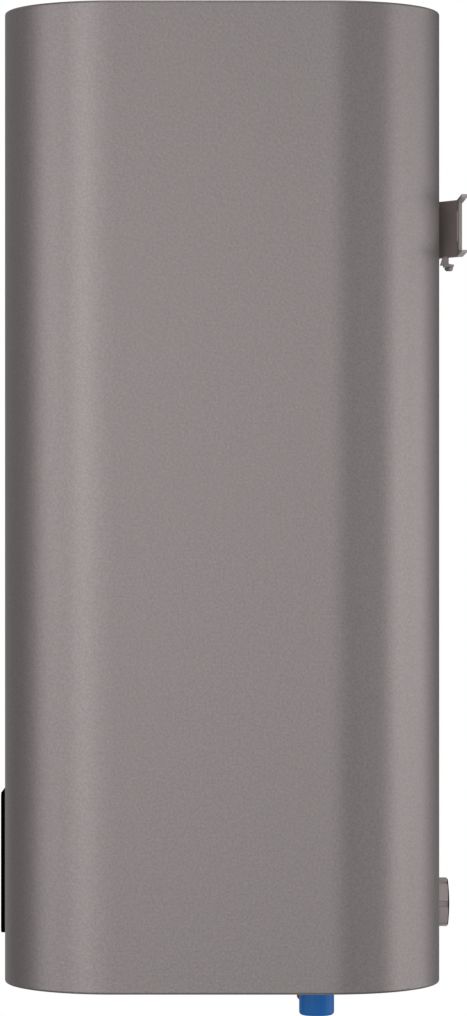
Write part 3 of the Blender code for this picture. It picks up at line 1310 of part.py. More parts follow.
def build_cable_inlet(materials):
    """Cable gland through the bottom cover with its nut, and the terminal block beside it."""
    gland_y = CASE_MID_Y + GLAND_FROM_MIDDLE
    field_z = CASE_BOTTOM_Z + COVER_DROP + COVER_STEP
    thread_top = COVER_WALL + FIT_GAP + GLAND_THREAD_RISE
    profile = closed([
        (GLAND_THREAD_RADIUS, thread_top),
        (GLAND_THREAD_RADIUS, 0),
        (GLAND_HEAD_RADIUS, 0),
        (GLAND_HEAD_RADIUS, -GLAND_HEAD),
        (GLAND_HEAD_RADIUS * GLAND_SHOULDER_SHARE, -GLAND_HEAD - GLAND_DOME * GLAND_SHOULDER_DROP_SHARE),
        (GLAND_BORE_RADIUS * GLAND_MOUTH_SHARE, -GLAND_HEAD - GLAND_DOME),
        (GLAND_BORE_RADIUS, -GLAND_HEAD - GLAND_DOME),
        (GLAND_BORE_RADIUS, thread_top),
    ])
    base = (GLAND_X, gland_y, field_z - FIT_GAP)
    turned("cable_gland", profile, base, steps=GLAND_STEPS, material=materials["black_plastic"])
    nut_low = (GLAND_X, gland_y, COVER_INNER_Z + FIT_GAP)
    nut_high = (GLAND_X, gland_y, COVER_INNER_Z + FIT_GAP + GLAND_NUT)
    nut = cylinder("gland_nut", GLAND_NUT_RADIUS, nut_low, nut_high, HEX_STEPS, materials["black_plastic"])
    bore_low = (GLAND_X, gland_y, COVER_INNER_Z - OVERRUN)
    bore_high = (GLAND_X, gland_y, COVER_INNER_Z + GLAND_NUT + OVERRUN)
    cut(nut, cylinder("gland_nut_bore", GLAND_THREAD_RADIUS + FIT_GAP, bore_low, bore_high, GLAND_STEPS))
    width, depth, height = TERMINAL_SIZE
    block_y = CASE_MID_Y + TERMINAL_FROM_MIDDLE
    base_z = COVER_INNER_Z + FIT_GAP
    low = (TERMINAL_X - width / 2, block_y - depth / 2, base_z)
    high = (TERMINAL_X + width / 2, block_y + depth / 2, base_z + height)
    block = box("terminal_block", low, high, materials["white_plastic"])
    for step in (-1, 0, 1):
        x = TERMINAL_X + step * width / 3
        half = TERMINAL_SLOT_WIDTH / 2
        slot_low = (x - half, block_y - depth / 2 - OVERRUN, base_z + height - TERMINAL_SLOT_DEPTH)
        slot_high = (x + half, block_y, base_z + height + OVERRUN)
        cut(block, box("terminal_slot", slot_low, slot_high))


def build_cutout(materials):
    """Thermal cut-out on the bottom cover, and the reset button that is pushed up through the cover."""
    width, depth, height = CUTOUT_SIZE
    y = CASE_MID_Y + CUTOUT_FROM_MIDDLE
    base_z = COVER_INNER_Z + FIT_GAP
    low = (CUTOUT_X - width / 2, y - depth / 2, base_z)
    high = (CUTOUT_X + width / 2, y + depth / 2, base_z + height)
    cutout = box("thermal_cutout", low, high, materials["white_plastic"])
    flange = RESET_RADIUS + RESET_FLANGE
    bore_low = (CUTOUT_X, y, base_z - OVERRUN)
    bore_high = (CUTOUT_X, y, base_z + CUTOUT_BORE_DEPTH)
    cut(cutout, cylinder("reset_bore", flange + FIT_GAP, bore_low, bore_high, ROUND_STEPS))
    button_low = CASE_BOTTOM_Z + COVER_DROP + COVER_STEP + RESET_RECESS
    flange_low = COVER_INNER_Z + FIT_GAP - button_low
    flange_high = flange_low + RESET_FLANGE_HEIGHT
    stem_high = flange_high + RESET_STEM
    profile = [
        (0, stem_high),
        (RESET_RADIUS, stem_high),
        (RESET_RADIUS, flange_high),
        (flange, flange_high),
        (flange, flange_low),
        (RESET_RADIUS, flange_low),
        (RESET_RADIUS, 0),
        (0, 0),
    ]
    base = (CUTOUT_X, y, button_low)
    turned("reset_button", profile, base, steps=SMALL_STEPS, material=materials["red_plastic"])


def build_earth_stud(materials):
    """Earth stud that stands on the casing's bottom seat."""
    profile = [
        (0, EARTH_STUD_HEIGHT),
        (EARTH_STUD_RADIUS, EARTH_STUD_HEIGHT),
        (EARTH_STUD_RADIUS, EARTH_STUD_BASE),
        (EARTH_STUD_BASE_RADIUS, EARTH_STUD_BASE),
        (EARTH_STUD_BASE_RADIUS, 0),
        (0, 0),
    ]
    base = (0, CASE_MID_Y + COVER_SCREW_Y, SEAT_INNER_Z + FIT_GAP)
    turned("earth_stud", profile, base, steps=SMALL_STEPS, material=materials["zinc_steel"])


def eased(start, finish, points):
    """Points between two places, that leave and arrive along Y and cross over in an even S."""
    row = []
    for step in range(points):
        share = step / (points - 1)
        across = (1 - math.cos(math.pi * share)) / 2
        x = start.x + across * (finish.x - start.x)
        y = start.y + share * (finish.y - start.y)
        z = start.z + across * (finish.z - start.z)
        row.append(Vector((x, y, z)))
    return row


def build_looms(materials):
    """Sleeved wires from the power board's connectors to the elements and to the terminals."""
    connector_face = POWER_BOARD_BACK_Y + CONNECTOR_SIZE[1] + FIT_GAP
    element_z = PLUG_HEAD_BOTTOM_Z - ELEMENT_TAIL / 2
    lead = LOOM_RADIUS * 2
    element_face = CASE_MID_Y + ELEMENT_FROM_AXIS - ELEMENT_RADIUS - FIT_GAP
    for name, side in (("element_loom_left", -1), ("element_loom_right", 1)):
        start_x = CONNECTOR_PLACES_X[0] if side < 0 else CONNECTOR_PLACES_X[2]
        finish_x = side * (TANK_SPREAD - ELEMENT_SPREAD)
        start = Vector((start_x, connector_face + lead, POWER_BOARD_Z))
        finish = Vector((finish_x, element_face - lead, element_z))
        row = [Vector((start_x, connector_face, POWER_BOARD_Z))]
        row += eased(start, finish, LOOM_BEND_POINTS)
        row.append(Vector((finish_x, element_face, element_z)))
        tube(name, row, LOOM_RADIUS, WIRE_RESOLUTION, materials["loom_sleeve"])
    block_face = CASE_MID_Y + TERMINAL_FROM_MIDDLE + TERMINAL_SIZE[1] / 2 + FIT_GAP
    block_z = COVER_INNER_Z + MAINS_LOOM_HEIGHT
    turn_y = block_face + lead * 2
    board_x = CONNECTOR_PLACES_X[1]
    row = [
        Vector((TERMINAL_X, block_face, block_z)),
        Vector((TERMINAL_X, block_face + lead, block_z)),
        Vector((TERMINAL_X + lead, turn_y, block_z + lead / 2)),
        Vector(((TERMINAL_X + board_x) / 2, turn_y + lead / 2, (block_z + POWER_BOARD_Z) / 2)),
        Vector((board_x - lead / 2, turn_y, POWER_BOARD_Z)),
        Vector((board_x, turn_y - lead, POWER_BOARD_Z)),
        Vector((board_x, connector_face, POWER_BOARD_Z)),
    ]
    tube("mains_loom", row, LOOM_RADIUS, WIRE_RESOLUTION, materials["loom_sleeve"])


def main():
    """Build the whole heater."""
    clear_scene()
    materials = make_materials()
    build_casing(materials)
    build_covers(materials)
    build_cover_screws(materials)
    build_wall_bracket(materials)
    build_lock_screws(materials)
    build_bracket_bolts(materials)
    build_hanger(materials)
    build_spacer(materials)
    build_tanks(materials)
    build_water_pipes(materials)
    build_pipe_trim(materials)
    build_transfer_pipe(materials)
    for side_name, side in (("left", -1), ("right", 1)):
        build_plug_set(side_name, side, materials)
    build_foam(materials)
    build_panel(materials)
    build_buttons(materials)
    build_display_board(materials)
    build_power_board(materials)
    build_cable_inlet(materials)
    build_cutout(materials)
    build_earth_stud(materials)
    build_looms(materials)


main()
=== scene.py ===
"""Looks of a wall-hung flat electric water heater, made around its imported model.

Metres, +Z up. The front looks along -Y, the wall is the plane Y = 0, and the photograph shows the +X side.
"""
import json
import math

import bmesh
import bpy
import numpy as np
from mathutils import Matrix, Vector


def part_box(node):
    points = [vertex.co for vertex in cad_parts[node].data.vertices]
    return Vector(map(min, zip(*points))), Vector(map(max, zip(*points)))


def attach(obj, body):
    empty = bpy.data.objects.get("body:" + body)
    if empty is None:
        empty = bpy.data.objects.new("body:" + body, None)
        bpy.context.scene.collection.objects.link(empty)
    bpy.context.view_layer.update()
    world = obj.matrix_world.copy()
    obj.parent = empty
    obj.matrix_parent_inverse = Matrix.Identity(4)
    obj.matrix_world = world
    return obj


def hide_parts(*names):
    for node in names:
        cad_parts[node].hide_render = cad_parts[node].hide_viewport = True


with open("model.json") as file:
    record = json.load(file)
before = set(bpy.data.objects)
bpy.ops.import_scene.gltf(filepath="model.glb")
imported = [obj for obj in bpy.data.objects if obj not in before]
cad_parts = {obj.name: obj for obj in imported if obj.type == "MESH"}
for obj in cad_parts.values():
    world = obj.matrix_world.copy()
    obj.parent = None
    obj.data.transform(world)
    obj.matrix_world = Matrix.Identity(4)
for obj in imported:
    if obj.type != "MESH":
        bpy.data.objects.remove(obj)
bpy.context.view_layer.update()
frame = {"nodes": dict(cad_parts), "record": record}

bl_info = {
    "name": "Flat Water Heater",
    "version": (1, 0, 0),
    "blender": (4, 5, 0),
    "location": "3D View > Sidebar > Heater",
    "description": "Builds the visible surfaces and finishes of a flat wall-hung water heater",
    "category": "Add Mesh",
}

CASE_LOW, CASE_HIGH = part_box("casing")
BODY = "body"
KEYS = (("button_power", "power_key"), ("button_mode", "mode_key"), ("button_minus", "minus_key"),
        ("button_plus", "plus_key"))
BOLTS = ["bracket_bolt_" + str(index) for index in range(1, 5)]
COVER_SCREWS = ["bottom_screw_" + str(index) for index in range(1, 5)]

# Numbers of the axes, gaps between pieces, overrun of cuts, distances at which points merge, and turns at
# which edges show
Y = 1
Z = 2
FIT_GAP = 0.0003
OVERRUN = 0.002
MICRO = 0.00005
WELD = 0.000001
CAD_WELD = 0.00001
SHARP_TURN = math.radians(35)
FLAT_TURN = math.radians(1)

# Rounded edges of the bracket, its lock screws and its bolts, the polished depth of the panel's front, and
# how far its section runs in, as a share of its corner's radius
BRACKET_EDGE = 0.0003
LOCK_SCREW_EDGE = 0.0002
BOLT_EDGE = 0.0004
PANEL_POLISH = 0.0001
PANEL_REACH = 0.9

# Widths of the slope to a cover's sunk field and of the field's swept part, and the radius at their edges
COVER_SLOPE = 0.002
COVER_FIELD = 0.020
FIELD_EDGE = 0.0008

# Radii of the holes for the bracket's bolts, the spacer's stud, the cover's screws and the reset button
BOLT_HOLE = 0.0033
STUD_HOLE = 0.0043
SCREW_HOLE = 0.0023
RESET_HOLE = 0.0033

# The display's figures, and the lit bars of each: top, upper right, lower right, bottom, lower left, upper
# left and middle. Half the figure's width, half the bar's width and the pitch are shares of the height. The
# gap at a bar's end is a share of half its width, and the degree ring's place is a share of the pitch.
SHOWN_FIGURES = "60"
FIGURE_BARS = {"6": (1, 0, 1, 1, 1, 1, 1), "0": (1, 1, 1, 1, 1, 1, 0)}
FIGURE_HALF_WIDTH = 0.26
FIGURE_BAR = 0.045
FIGURE_GAP = 1.25
FIGURE_PITCH = 0.86
DEGREE_PLACE = 1.22
DEGREE_TURN = 345.0

# A key's flange, and its sign: reach as a share of the key's radius, and bars as shares of the reach
KEY_FLANGE = 0.001
SIGN_REACH = 0.42
POWER_RING = (128.0, 412.0)
POWER_BAR = (0.3, 1.25)
MODE_BARS = ((0.7, 0.9), (0.0, 0.6), (-0.7, 0.3))

# The spacer knob's flutes: their number, their width in edge widths, and the shares of the radius at which
# they start and over which they deepen. The bore's depth is a share of the knob's.
FLUTES = 6
FLUTE_EDGES = 9
FLUTE_START = 0.88
FLUTE_EASE = 0.06
KNOB_BORE_DEPTH = 0.86

# The thread's cut as shares of its depth: its flanks' slope over a pitch, its crests' flat and its taper at
# the mouth. The last number is that of the grid's levels in a pitch.
THREAD_FLANK = 2.4
THREAD_CREST = 0.1
THREAD_LEAD = 0.8
THREAD_LEVELS = 10

GROMMET_WALL = 0.0035
GROMMET_FLANGE = 0.0022
GROMMET_LIP = 0.0006

# Heights of the gland's head and dome, and the number of its ribs. The dome's shoulder is in shares of the
# head's radius and the dome's height, its mouth in shares of the bore, and the ribs' start in shares of the
# dome's height.
GLAND_HEAD = 0.006
GLAND_DOME = 0.007
GLAND_RIBS = 12
GLAND_SHOULDER = (0.9, 0.6)
GLAND_MOUTH = 1.4
GLAND_RIB_START = 0.7

# Height of a screw's head, its rounding as a share of its height, and its cross recess's arms as shares of
# its radius and depth as a share of its height
SCREW_HEAD = 0.002
SCREW_ROUND = 0.7
CROSS_LONG = 0.55
CROSS_WIDE = 0.13
CROSS_DEPTH = 0.6

# Turns that lay a piece's height along -Y, out of the front, or along +Y, towards the wall
FRONT_TURN = ((1, 0, 0), (0, 0, -1), (0, 1, 0))
WALL_TURN = ((1, 0, 0), (0, 0, 1), (0, -1, 0))

# White, the camera's shift, the floor's reach and fade, and where behind the heater the backdrop starts and
# the room dims
WHITE = (1.0, 1.0, 1.0, 1.0)
CAMERA_SHIFT = (0.0112, -0.0103)
FLOOR_REACH = 60.0
FLOOR_FADE = (1.5, 5.0, 0.55, 1.0)
BACKDROP_EDGE = (0.985, 0.998)
DIM_EDGE = (0.60, 0.97)
DIM_SHARE = 0.25

# Each lamp's name, azimuth and elevation in degrees, distance, width and height, and power in watts
LAMPS = (("side_upper", -3.0, 16.0, 2.6, (1.4, 1.5), 3.25),
         ("side_lower", -3.0, -6.0, 2.6, (1.4, 1.5), 5.75),
         ("key_upper", -32.0, 18.0, 2.4, (0.9, 1.5), 3.8),
         ("key_lower", -32.0, -5.0, 2.4, (0.9, 1.5), 6.1),
         ("front_upper", -66.0, 16.0, 2.2, (1.2, 1.5), 3.3),
         ("front_lower", -66.0, -6.0, 2.2, (1.2, 1.5), 5.1),
         ("soft_upper", 36.0, 16.0, 2.4, (0.8, 1.5), 1.0),
         ("soft_lower", 36.0, -8.0, 2.4, (0.8, 1.5), 1.9),
         ("corner_upper", 71.5, 12.0, 2.2, (0.8, 1.5), 3.2),
         ("corner_lower", 71.5, -12.0, 2.2, (0.8, 1.5), 4.8),
         ("back_upper", 100.0, 12.0, 2.2, (0.9, 1.5), 2.8),
         ("back_lower", 100.0, -12.0, 2.2, (0.9, 1.5), 4.2),
         ("rim", 122.0, -6.0, 2.2, (0.7, 2.4), 1.0),
         ("far", -150.0, 6.0, 2.4, (1.2, 2.6), 2.0),
         ("top", 10.0, 80.0, 2.2, (1.6, 1.6), 5.0),
         ("low", -30.0, -62.0, 1.6, (1.4, 1.4), 1.0))

FINISHES = {}


def length(name, description, default):
    """A length that a user may change, in metres."""
    return bpy.props.FloatProperty(name=name, description=description, default=default, unit="LENGTH",
                                   subtype="DISTANCE", precision=5)


def colour(name, description, default):
    """A colour that a user may change, as linear red, green and blue."""
    return bpy.props.FloatVectorProperty(name=name, description=description, default=default, size=3,
                                         subtype="COLOR", min=0.0, max=1.0)


def strength(name, description, default):
    """A light's strength that a user may change."""
    return bpy.props.FloatProperty(name=name, description=description, default=default, min=0.0)


class CasingSizes(bpy.types.PropertyGroup):
    """Sizes of the painted casing and its covers."""
    corner_radius: length("Corner radius", "Radius of the casing's four upright corners", 0.066)
    bead_radius: length("Bead radius", "Outer radius of the rolled bead at each end", 0.0015)
    sheet: length("Sheet", "Thickness of the casing's sheet", 0.001)
    seat_drop: length("Seat drop", "Depth of the covers' seat below the bead", 0.005)
    seat_width: length("Seat width", "Width of the covers' seat", 0.014)
    cover_wall: length("Cover wall", "Wall of the moulded covers", 0.0022)
    cover_drop: length("Cover drop", "How far a cover's face lies below the bead", 0.0008)
    cover_border: length("Cover border", "Width of a cover's flat border", 0.013)
    cover_step: length("Cover step", "Depth of a cover's sunk field", 0.0012)
    cover_edge: length("Cover edge", "Radius of a cover's edge", 0.0015)


class TrimSizes(bpy.types.PropertyGroup):
    """Sizes of the panel, the spacer, the pipe ends and the small pieces."""
    glass_corner: length("Panel corner", "Radius of the panel front's corners", 0.004)
    glass_edge: length("Panel edge", "Radius of the panel front's edge", 0.0007)
    window_border: length("Window border", "From the panel front's side to the window in the casing", 0.0108)
    key_radius: length("Key radius", "Radius of a push button", 0.006)
    key_dish: length("Key dish", "Depth of the hollow in a push button", 0.0004)
    line_width: length("Line width", "Width of the raised lines on the push buttons", 0.0006)
    digit_height: length("Figure height", "Height of the display's figures", 0.013)
    slot_place: length("Slot place", "From the middle to a slot in the bracket's end", 0.14145)
    slot_width: length("Slot width", "Width of a slot in the bracket's end", 0.0045)
    slot_height: length("Slot height", "Height of a slot in the bracket's end", 0.0203)
    slot_rise: length("Slot rise", "Height of a slot's middle above the bracket's", 0.0014)
    knob_edge: length("Knob edge", "Radius of the spacer knob's rims", 0.00015)
    flute_width: length("Flute width", "Width of a flute in the spacer knob's rim", 0.0034)
    flute_depth: length("Flute depth", "Depth of a flute in the spacer knob's rim", 0.0018)
    cap_wall: length("Cap wall", "Wall of a pipe cap", 0.00035)
    cap_floor: length("Cap floor", "Floor of a pipe cap", 0.0008)
    cap_edge: length("Cap edge", "Radius of a pipe cap's lower edge", 0.0022)
    pipe_radius: length("Pipe radius", "Outer radius of a water pipe", 0.0104775)
    pipe_wall: length("Pipe wall", "Wall of a water pipe", 0.0025)
    thread_length: length("Thread length", "Length of the thread on a water pipe", 0.0150)
    thread_pitch: length("Thread pitch", "Distance between two turns of the thread", 0.001814)
    thread_depth: length("Thread depth", "Depth of the thread", 0.00116)
    gland_thread: length("Gland thread", "Outer radius of the gland's thread", 0.008)
    gland_bore: length("Gland bore", "Radius of the gland's bore", 0.0045)
    rib_depth: length("Gland ribs", "Depth between the gland's grip ribs", 0.0006)


class Finishes(bpy.types.PropertyGroup):
    """Colours of the heater's finishes."""
    paint: colour("Paint", "Titanium grey of the casing", (0.290, 0.259, 0.258))
    cover: colour("Cover plastic", "Grey of the covers and the spacer", (0.590, 0.518, 0.515))
    bracket: colour("Bracket", "Coat of the wall bracket", (0.500, 0.437, 0.425))
    blue_cap: colour("Cold cap", "Blue of the cold pipe's cap", (0.014, 0.168, 0.550))
    red_cap: colour("Hot cap", "Red of the hot pipe's cap", (0.150, 0.008, 0.010))
    gloss: colour("Panel", "Black of the panel's front", (0.0015, 0.0016, 0.0015))
    print: colour("Print", "Pale grey of the printed signs", (0.62, 0.64, 0.66))


class StageSettings(bpy.types.PropertyGroup):
    """Camera and light."""
    distance: length("Camera distance", "From the middle plane to the camera", 2.497)
    camera_z: length("Camera height", "Height of the camera", -0.1608)
    camera_y: length("Camera depth", "Camera's place along Y", -0.1437)
    lens: bpy.props.FloatProperty(name="Lens", description="Focal length in millimetres", default=139.8)
    floor_z: length("Floor", "Height of the floor below the hanging heater", -4.2)
    floor: colour("Floor colour", "Pale colour of the floor", (0.70, 0.70, 0.70))
    ambient: strength("Ambient", "Strength of the room's even light", 0.322)
    level: strength("Lamp level", "Share of every lamp's listed power", 1.0)


# Surfaces


def rounded_line(corners, radii, steps=6):
    """An open line whose inner corners are arcs, with the line's unit tangent at each point.

    At a corner p between the unit directions a and b, which turn by w, the arc of radius r starts at
    p - a r tan(w/2). Its point at an angle t is centre - n r cos t + a r sin t, where n is a's unit normal on
    the side of b.
    """
    corners = np.asarray(corners, float)
    steps_between = np.diff(corners, axis=0)
    along = steps_between / np.linalg.norm(steps_between, axis=1, keepdims=True)
    a = along[:-1]
    b = along[1:]
    cosine = np.clip((a * b).sum(axis=1), -1.0, 1.0)
    turn = np.arccos(cosine)
    side = b - cosine[:, None] * a
    n = side / np.maximum(np.linalg.norm(side, axis=1, keepdims=True), WELD)
    r = np.broadcast_to(np.asarray(radii, float), turn.shape)[:, None]
    centre = corners[1:-1] - a * r * np.tan(turn / 2)[:, None] + n * r
    angle = turn[:, None] * np.linspace(0.0, 1.0, steps + 1)
    cos = np.cos(angle)[..., None]
    sin = np.sin(angle)[..., None]
    points = centre[:, None] - (n * r)[:, None] * cos + (a * r)[:, None] * sin
    tangents = a[:, None] * cos + n[:, None] * sin
    width = corners.shape[1]
    points = np.concatenate((corners[:1], points.reshape(-1, width), corners[-1:]))
    tangents = np.concatenate((along[:1], tangents.reshape(-1, width), along[-1:]))
    return points, tangents


def sheet_loop(corners, radii, thickness, steps=6):
    """Closed section of a bent sheet: a line, then the line moved left by the thickness and run backwards.

    The left of a tangent is the tangent turned by a quarter.
    """
    points, tangents = rounded_line(corners, radii, steps)
    left = np.stack((-tangents[:, 1], tangents[:, 0]), axis=1)
    return np.concatenate((points, (points + left * thickness)[::-1]))


def plan_ring(width, depth, radius, steps=36):
    """Outline of a rounded rectangle as corner centres and outward directions, anticlockwise.

    A point at an inset i is centre + (radius - i) * direction. Each straight side has a point near both
    of its ends, so that its shading stays flat.
    """
    quarter = np.linspace(0.0, math.pi / 2, steps + 1)
    angles = np.arange(4)[:, None] * math.pi / 2 + quarter
    directions = np.stack((np.cos(angles), np.sin(angles)), axis=2)
    signs = np.array([(1, 1), (-1, 1), (-1, -1), (1, -1)], float)
    centre = signs * (width / 2 - radius, depth / 2 - radius)
    centres = np.repeat(centre[:, None], steps + 1, axis=1)
    following = np.roll(centres[:, :1], -1, axis=0)
    shares = np.array([0.01, 0.99])[None, :, None]
    side_centres = centres[:, -1:] * (1 - shares) + following * shares
    side_directions = np.repeat(directions[:, -1:], 2, axis=1)
    centres = np.concatenate((centres, side_centres), axis=1).reshape(-1, 2)
    directions = np.concatenate((directions, side_directions), axis=1).reshape(-1, 2)
    return centres, directions


def swept_ring(section, ring, radius):
    """Grid of a section of (inset, height) points carried round a plan ring."""
    centres, directions = ring
    reach = (radius - section[:, 0])[:, None, None]
    plan = centres[None] + directions[None] * reach
    heights = np.broadcast_to(section[:, 1][:, None, None], plan.shape[:2] + (1,))
    return np.concatenate((plan, heights), axis=2)


def turned_grid(profile, steps=48, radius_share=1.0):
    """Grid of a (radius, height) profile turned about Z. The radius may be scaled round the turn."""
    angles = np.arange(steps) * 2 * math.pi / steps
    radius = np.repeat(profile[:, :1], steps, axis=1) * radius_share
    heights = np.repeat(profile[:, 1:], steps, axis=1)
    return np.stack((radius * np.cos(angles), radius * np.sin(angles), heights), axis=2)


def bar_outline(start, end, half_width, steps=5):
    """Outline of a bar with round ends: directions over half a turn about each end, times the half width."""
    start = np.asarray(start, float)
    end = np.asarray(end, float)
    heading = math.atan2(*(end - start)[::-1])
    turn = heading + np.linspace(-math.pi / 2, math.pi / 2, steps)
    round_end = half_width * np.stack((np.cos(turn), np.sin(turn)), axis=1)
    return np.concatenate((end + round_end, start - round_end))


def flat_grid(outline, back, front):
    """Closed grid of a flat outline carried from one height to another."""
    levels = np.broadcast_to(np.array((back, front))[:, None, None], (2, len(outline), 1))
    return np.concatenate((np.broadcast_to(outline, (2, *outline.shape)), levels), axis=2)


def arc_grid(radius, half_width, first, last, back, front, steps=24):
    """Closed grid of a flat band along an arc: a rectangle of (radius, height) turned between two angles."""
    angles = np.radians(np.linspace(first, last, steps))[:, None]
    reach = radius + half_width * np.array((-1, 1, 1, -1))
    height = np.array((back, back, front, front)) + 0 * angles
    return np.stack((reach * np.cos(angles), reach * np.sin(angles), height), axis=2)


def tall_box(low, high):
    """Closed grid of an upright box between two corners."""
    (x0, y0, z0), (x1, y1, z1) = low, high
    return flat_grid(np.array([(x0, y0), (x1, y0), (x1, y1), (x0, y1)]), z0, z1)


def rod_grid(start, end, radius, steps=32):
    """Closed grid of a round rod between two points: a circle square to its axis at each end."""
    start = np.asarray(start, float)
    end = np.asarray(end, float)
    axis = (end - start) / np.linalg.norm(end - start)
    helper = np.array((0.0, 0.0, 1.0)) if abs(axis[2]) < 0.9 else np.array((1.0, 0.0, 0.0))
    first = np.cross(axis, helper)
    first = first / np.linalg.norm(first)
    angles = np.arange(steps)[:, None] * 2 * math.pi / steps
    circle = radius * (np.cos(angles) * first + np.sin(angles) * np.cross(axis, first))
    return np.stack((start + circle, end + circle))


# Pieces


def cell_faces(rows, columns, wrap_rows, wrap_columns, first):
    """Four point numbers of each cell of a grid, whose numbers start at first."""
    row = np.arange(rows if wrap_rows else rows - 1)[:, None]
    column = np.arange(columns if wrap_columns else columns - 1)[None]
    next_row = (row + 1) % rows
    next_column = (column + 1) % columns
    corners = (row * columns + column, row * columns + next_column,
               next_row * columns + next_column, next_row * columns + column)
    shape = (row.size, column.size)
    return first + np.stack([np.broadcast_to(c, shape) for c in corners], axis=2).reshape(-1, 4)


def grid_mesh(name, grids, turn=None, base=(0.0, 0.0, 0.0)):
    """One mesh from grids of points, each given as (grid, wrap rows, wrap columns, close ends).

    Closed ends get one face over their first and last rows. The points are turned by the matrix, then moved
    to the base.
    """
    points = []
    faces = []
    first = 0
    for grid, wrap_rows, wrap_columns, close_ends in grids:
        rows, columns = grid.shape[:2]
        points.append(grid.reshape(-1, 3))
        faces += cell_faces(rows, columns, wrap_rows, wrap_columns, first).tolist()
        if close_ends:
            faces.append(list(range(first + columns - 1, first - 1, -1)))
            faces.append(list(range(first + (rows - 1) * columns, first + rows * columns)))
        first += rows * columns
    points = np.concatenate(points)
    if turn is not None:
        points = points @ np.asarray(turn, float).T
    mesh = bpy.data.meshes.new(name)
    mesh.from_pydata((points + np.asarray(base, float)).tolist(), [], faces)
    return mesh


def rework(mesh, *steps, source=None):
    """Run steps on a mesh, or on its source's form, then turn its faces outwards."""
    bm = bmesh.new()
    bm.from_mesh(source or mesh)
    for step in steps:
        step(bm)
    bmesh.ops.recalc_face_normals(bm, faces=bm.faces)
    bm.to_mesh(mesh)
    bm.free()


def merge_points(bm):
    """Merge double points and drop faces without area."""
    bmesh.ops.remove_doubles(bm, verts=bm.verts, dist=WELD)
    bmesh.ops.dissolve_degenerate(bm, edges=bm.edges, dist=WELD)


def join_flat_faces(bm):
    """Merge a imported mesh's loose triangles, and join those that lie in one plane."""
    bmesh.ops.remove_doubles(bm, verts=bm.verts, dist=CAD_WELD)
    bmesh.ops.dissolve_limit(bm, angle_limit=FLAT_TURN, verts=bm.verts, edges=bm.edges)


def fill_holes(bm):
    """Close every open edge loop with one flat face."""
    bmesh.ops.holes_fill(bm, edges=[edge for edge in bm.edges if edge.is_boundary], sides=0)


def shade(piece):
    """Smooth shading with sharp edges where the surface turns by more than the sharp turn."""
    piece.data.shade_smooth()
    piece.data.set_sharp_from_angle(angle=SHARP_TURN)


def add_object(name, data):
    """A new object in the scene."""
    item = bpy.data.objects.new(name, data)
    bpy.context.scene.collection.objects.link(item)
    return item


def place_piece(name, mesh, finish, body=BODY, replaces=()):
    """Make a mesh a piece: shaded, with its finish, its body and the nodes that it stands for."""
    piece = add_object(name, mesh)
    rework(mesh, merge_points)
    shade(piece)
    mesh.materials.clear()
    mesh.materials.append(FINISHES[finish])
    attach(piece, body)
    if replaces:
        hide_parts(*replaces)
    return piece


def surface(name, grids, finish, body=BODY, replaces=(), turn=None, base=(0.0, 0.0, 0.0)):
    """One piece from grids of points."""
    return place_piece(name, grid_mesh(name, grids, turn, base), finish, body, replaces)


def fine_piece(node, grid, finish, base, body=BODY, turn=None, wrap_rows=False, close_ends=False):
    """A node's finer form, from one grid whose rows are rings."""
    return surface("fine_" + node, [(grid, wrap_rows, True, close_ends)], finish, body, (node,), turn, base)


def turned_piece(node, corners, radii, finish, base, body=BODY, steps=48, arc_steps=4, turn=None,
                 closed=False):
    """A node's finer form: a line with rounded corners, turned about Z or about the turned Z."""
    if closed:
        corners = corners + [corners[0]]
    profile = rounded_line(corners, radii, arc_steps)[0]
    if closed:
        profile = profile[:-1]
    return fine_piece(node, turned_grid(profile, steps), finish, base, body, turn, closed)


def cut_away(piece, *grids):
    """Take closed solids, given as grids, away from a piece.

    Its shading is then weighed by face size, so that a flat face beside a round edge shades flat.
    """
    for grid in grids:
        cutter_mesh = grid_mesh("cutter", [(grid, False, True, True)])
        rework(cutter_mesh)
        cutter = add_object("cutter", cutter_mesh)
        cut = piece.modifiers.new("cut", "BOOLEAN")
        cut.solver = "EXACT"
        cut.object = cutter
        bpy.context.view_layer.update()
        evaluated = piece.evaluated_get(bpy.context.evaluated_depsgraph_get())
        result = bpy.data.meshes.new_from_object(evaluated)
        piece.modifiers.clear()
        old = piece.data
        piece.data = result
        bpy.data.meshes.remove(old)
        bpy.data.objects.remove(cutter)
        bpy.data.meshes.remove(cutter_mesh)
    shade(piece)
    even = piece.modifiers.new("normals", "WEIGHTED_NORMAL")
    even.mode = "FACE_AREA"
    even.weight = 100
    even.keep_sharp = True


def plain_copy(node, finish, body=BODY, name=None):
    """A node's own form, with its points merged and its flat faces joined."""
    name = name or "fine_" + node
    mesh = bpy.data.meshes.new(name)
    rework(mesh, join_flat_faces, source=frame["nodes"][node].data)
    return place_piece(name, mesh, finish, body, (node,))


def eased_copy(node, finish, width, body=BODY, name=None, cutters=()):
    """A node's own form with its edges rounded, after any cuts."""
    piece = plain_copy(node, finish, body, name)
    if cutters:
        cut_away(piece, *cutters)
        piece.modifiers.clear()
    bevel = piece.modifiers.new("edges", "BEVEL")
    bevel.width = width
    bevel.segments = 2
    bevel.limit_method = "ANGLE"
    bevel.angle_limit = SHARP_TURN
    bevel.harden_normals = True
    return piece


def middle_of(node, *axes):
    """A node's middle along some axes, at rest."""
    low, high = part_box(node)
    return [(getattr(low, axis) + getattr(high, axis)) / 2 for axis in axes]


def upright(node):
    """Foot of a node's upright axis, its radius and its height, from its packed box."""
    low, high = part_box(node)
    return (*middle_of(node, "x", "y"), low.z), (high.x - low.x) / 2, high.z - low.z


def case_frame():
    """Width, depth and middle Y of the casing, from its packed box."""
    width = CASE_HIGH.x - CASE_LOW.x
    depth = CASE_HIGH.y - CASE_LOW.y
    return width, depth, (CASE_HIGH.y + CASE_LOW.y) / 2


# Materials


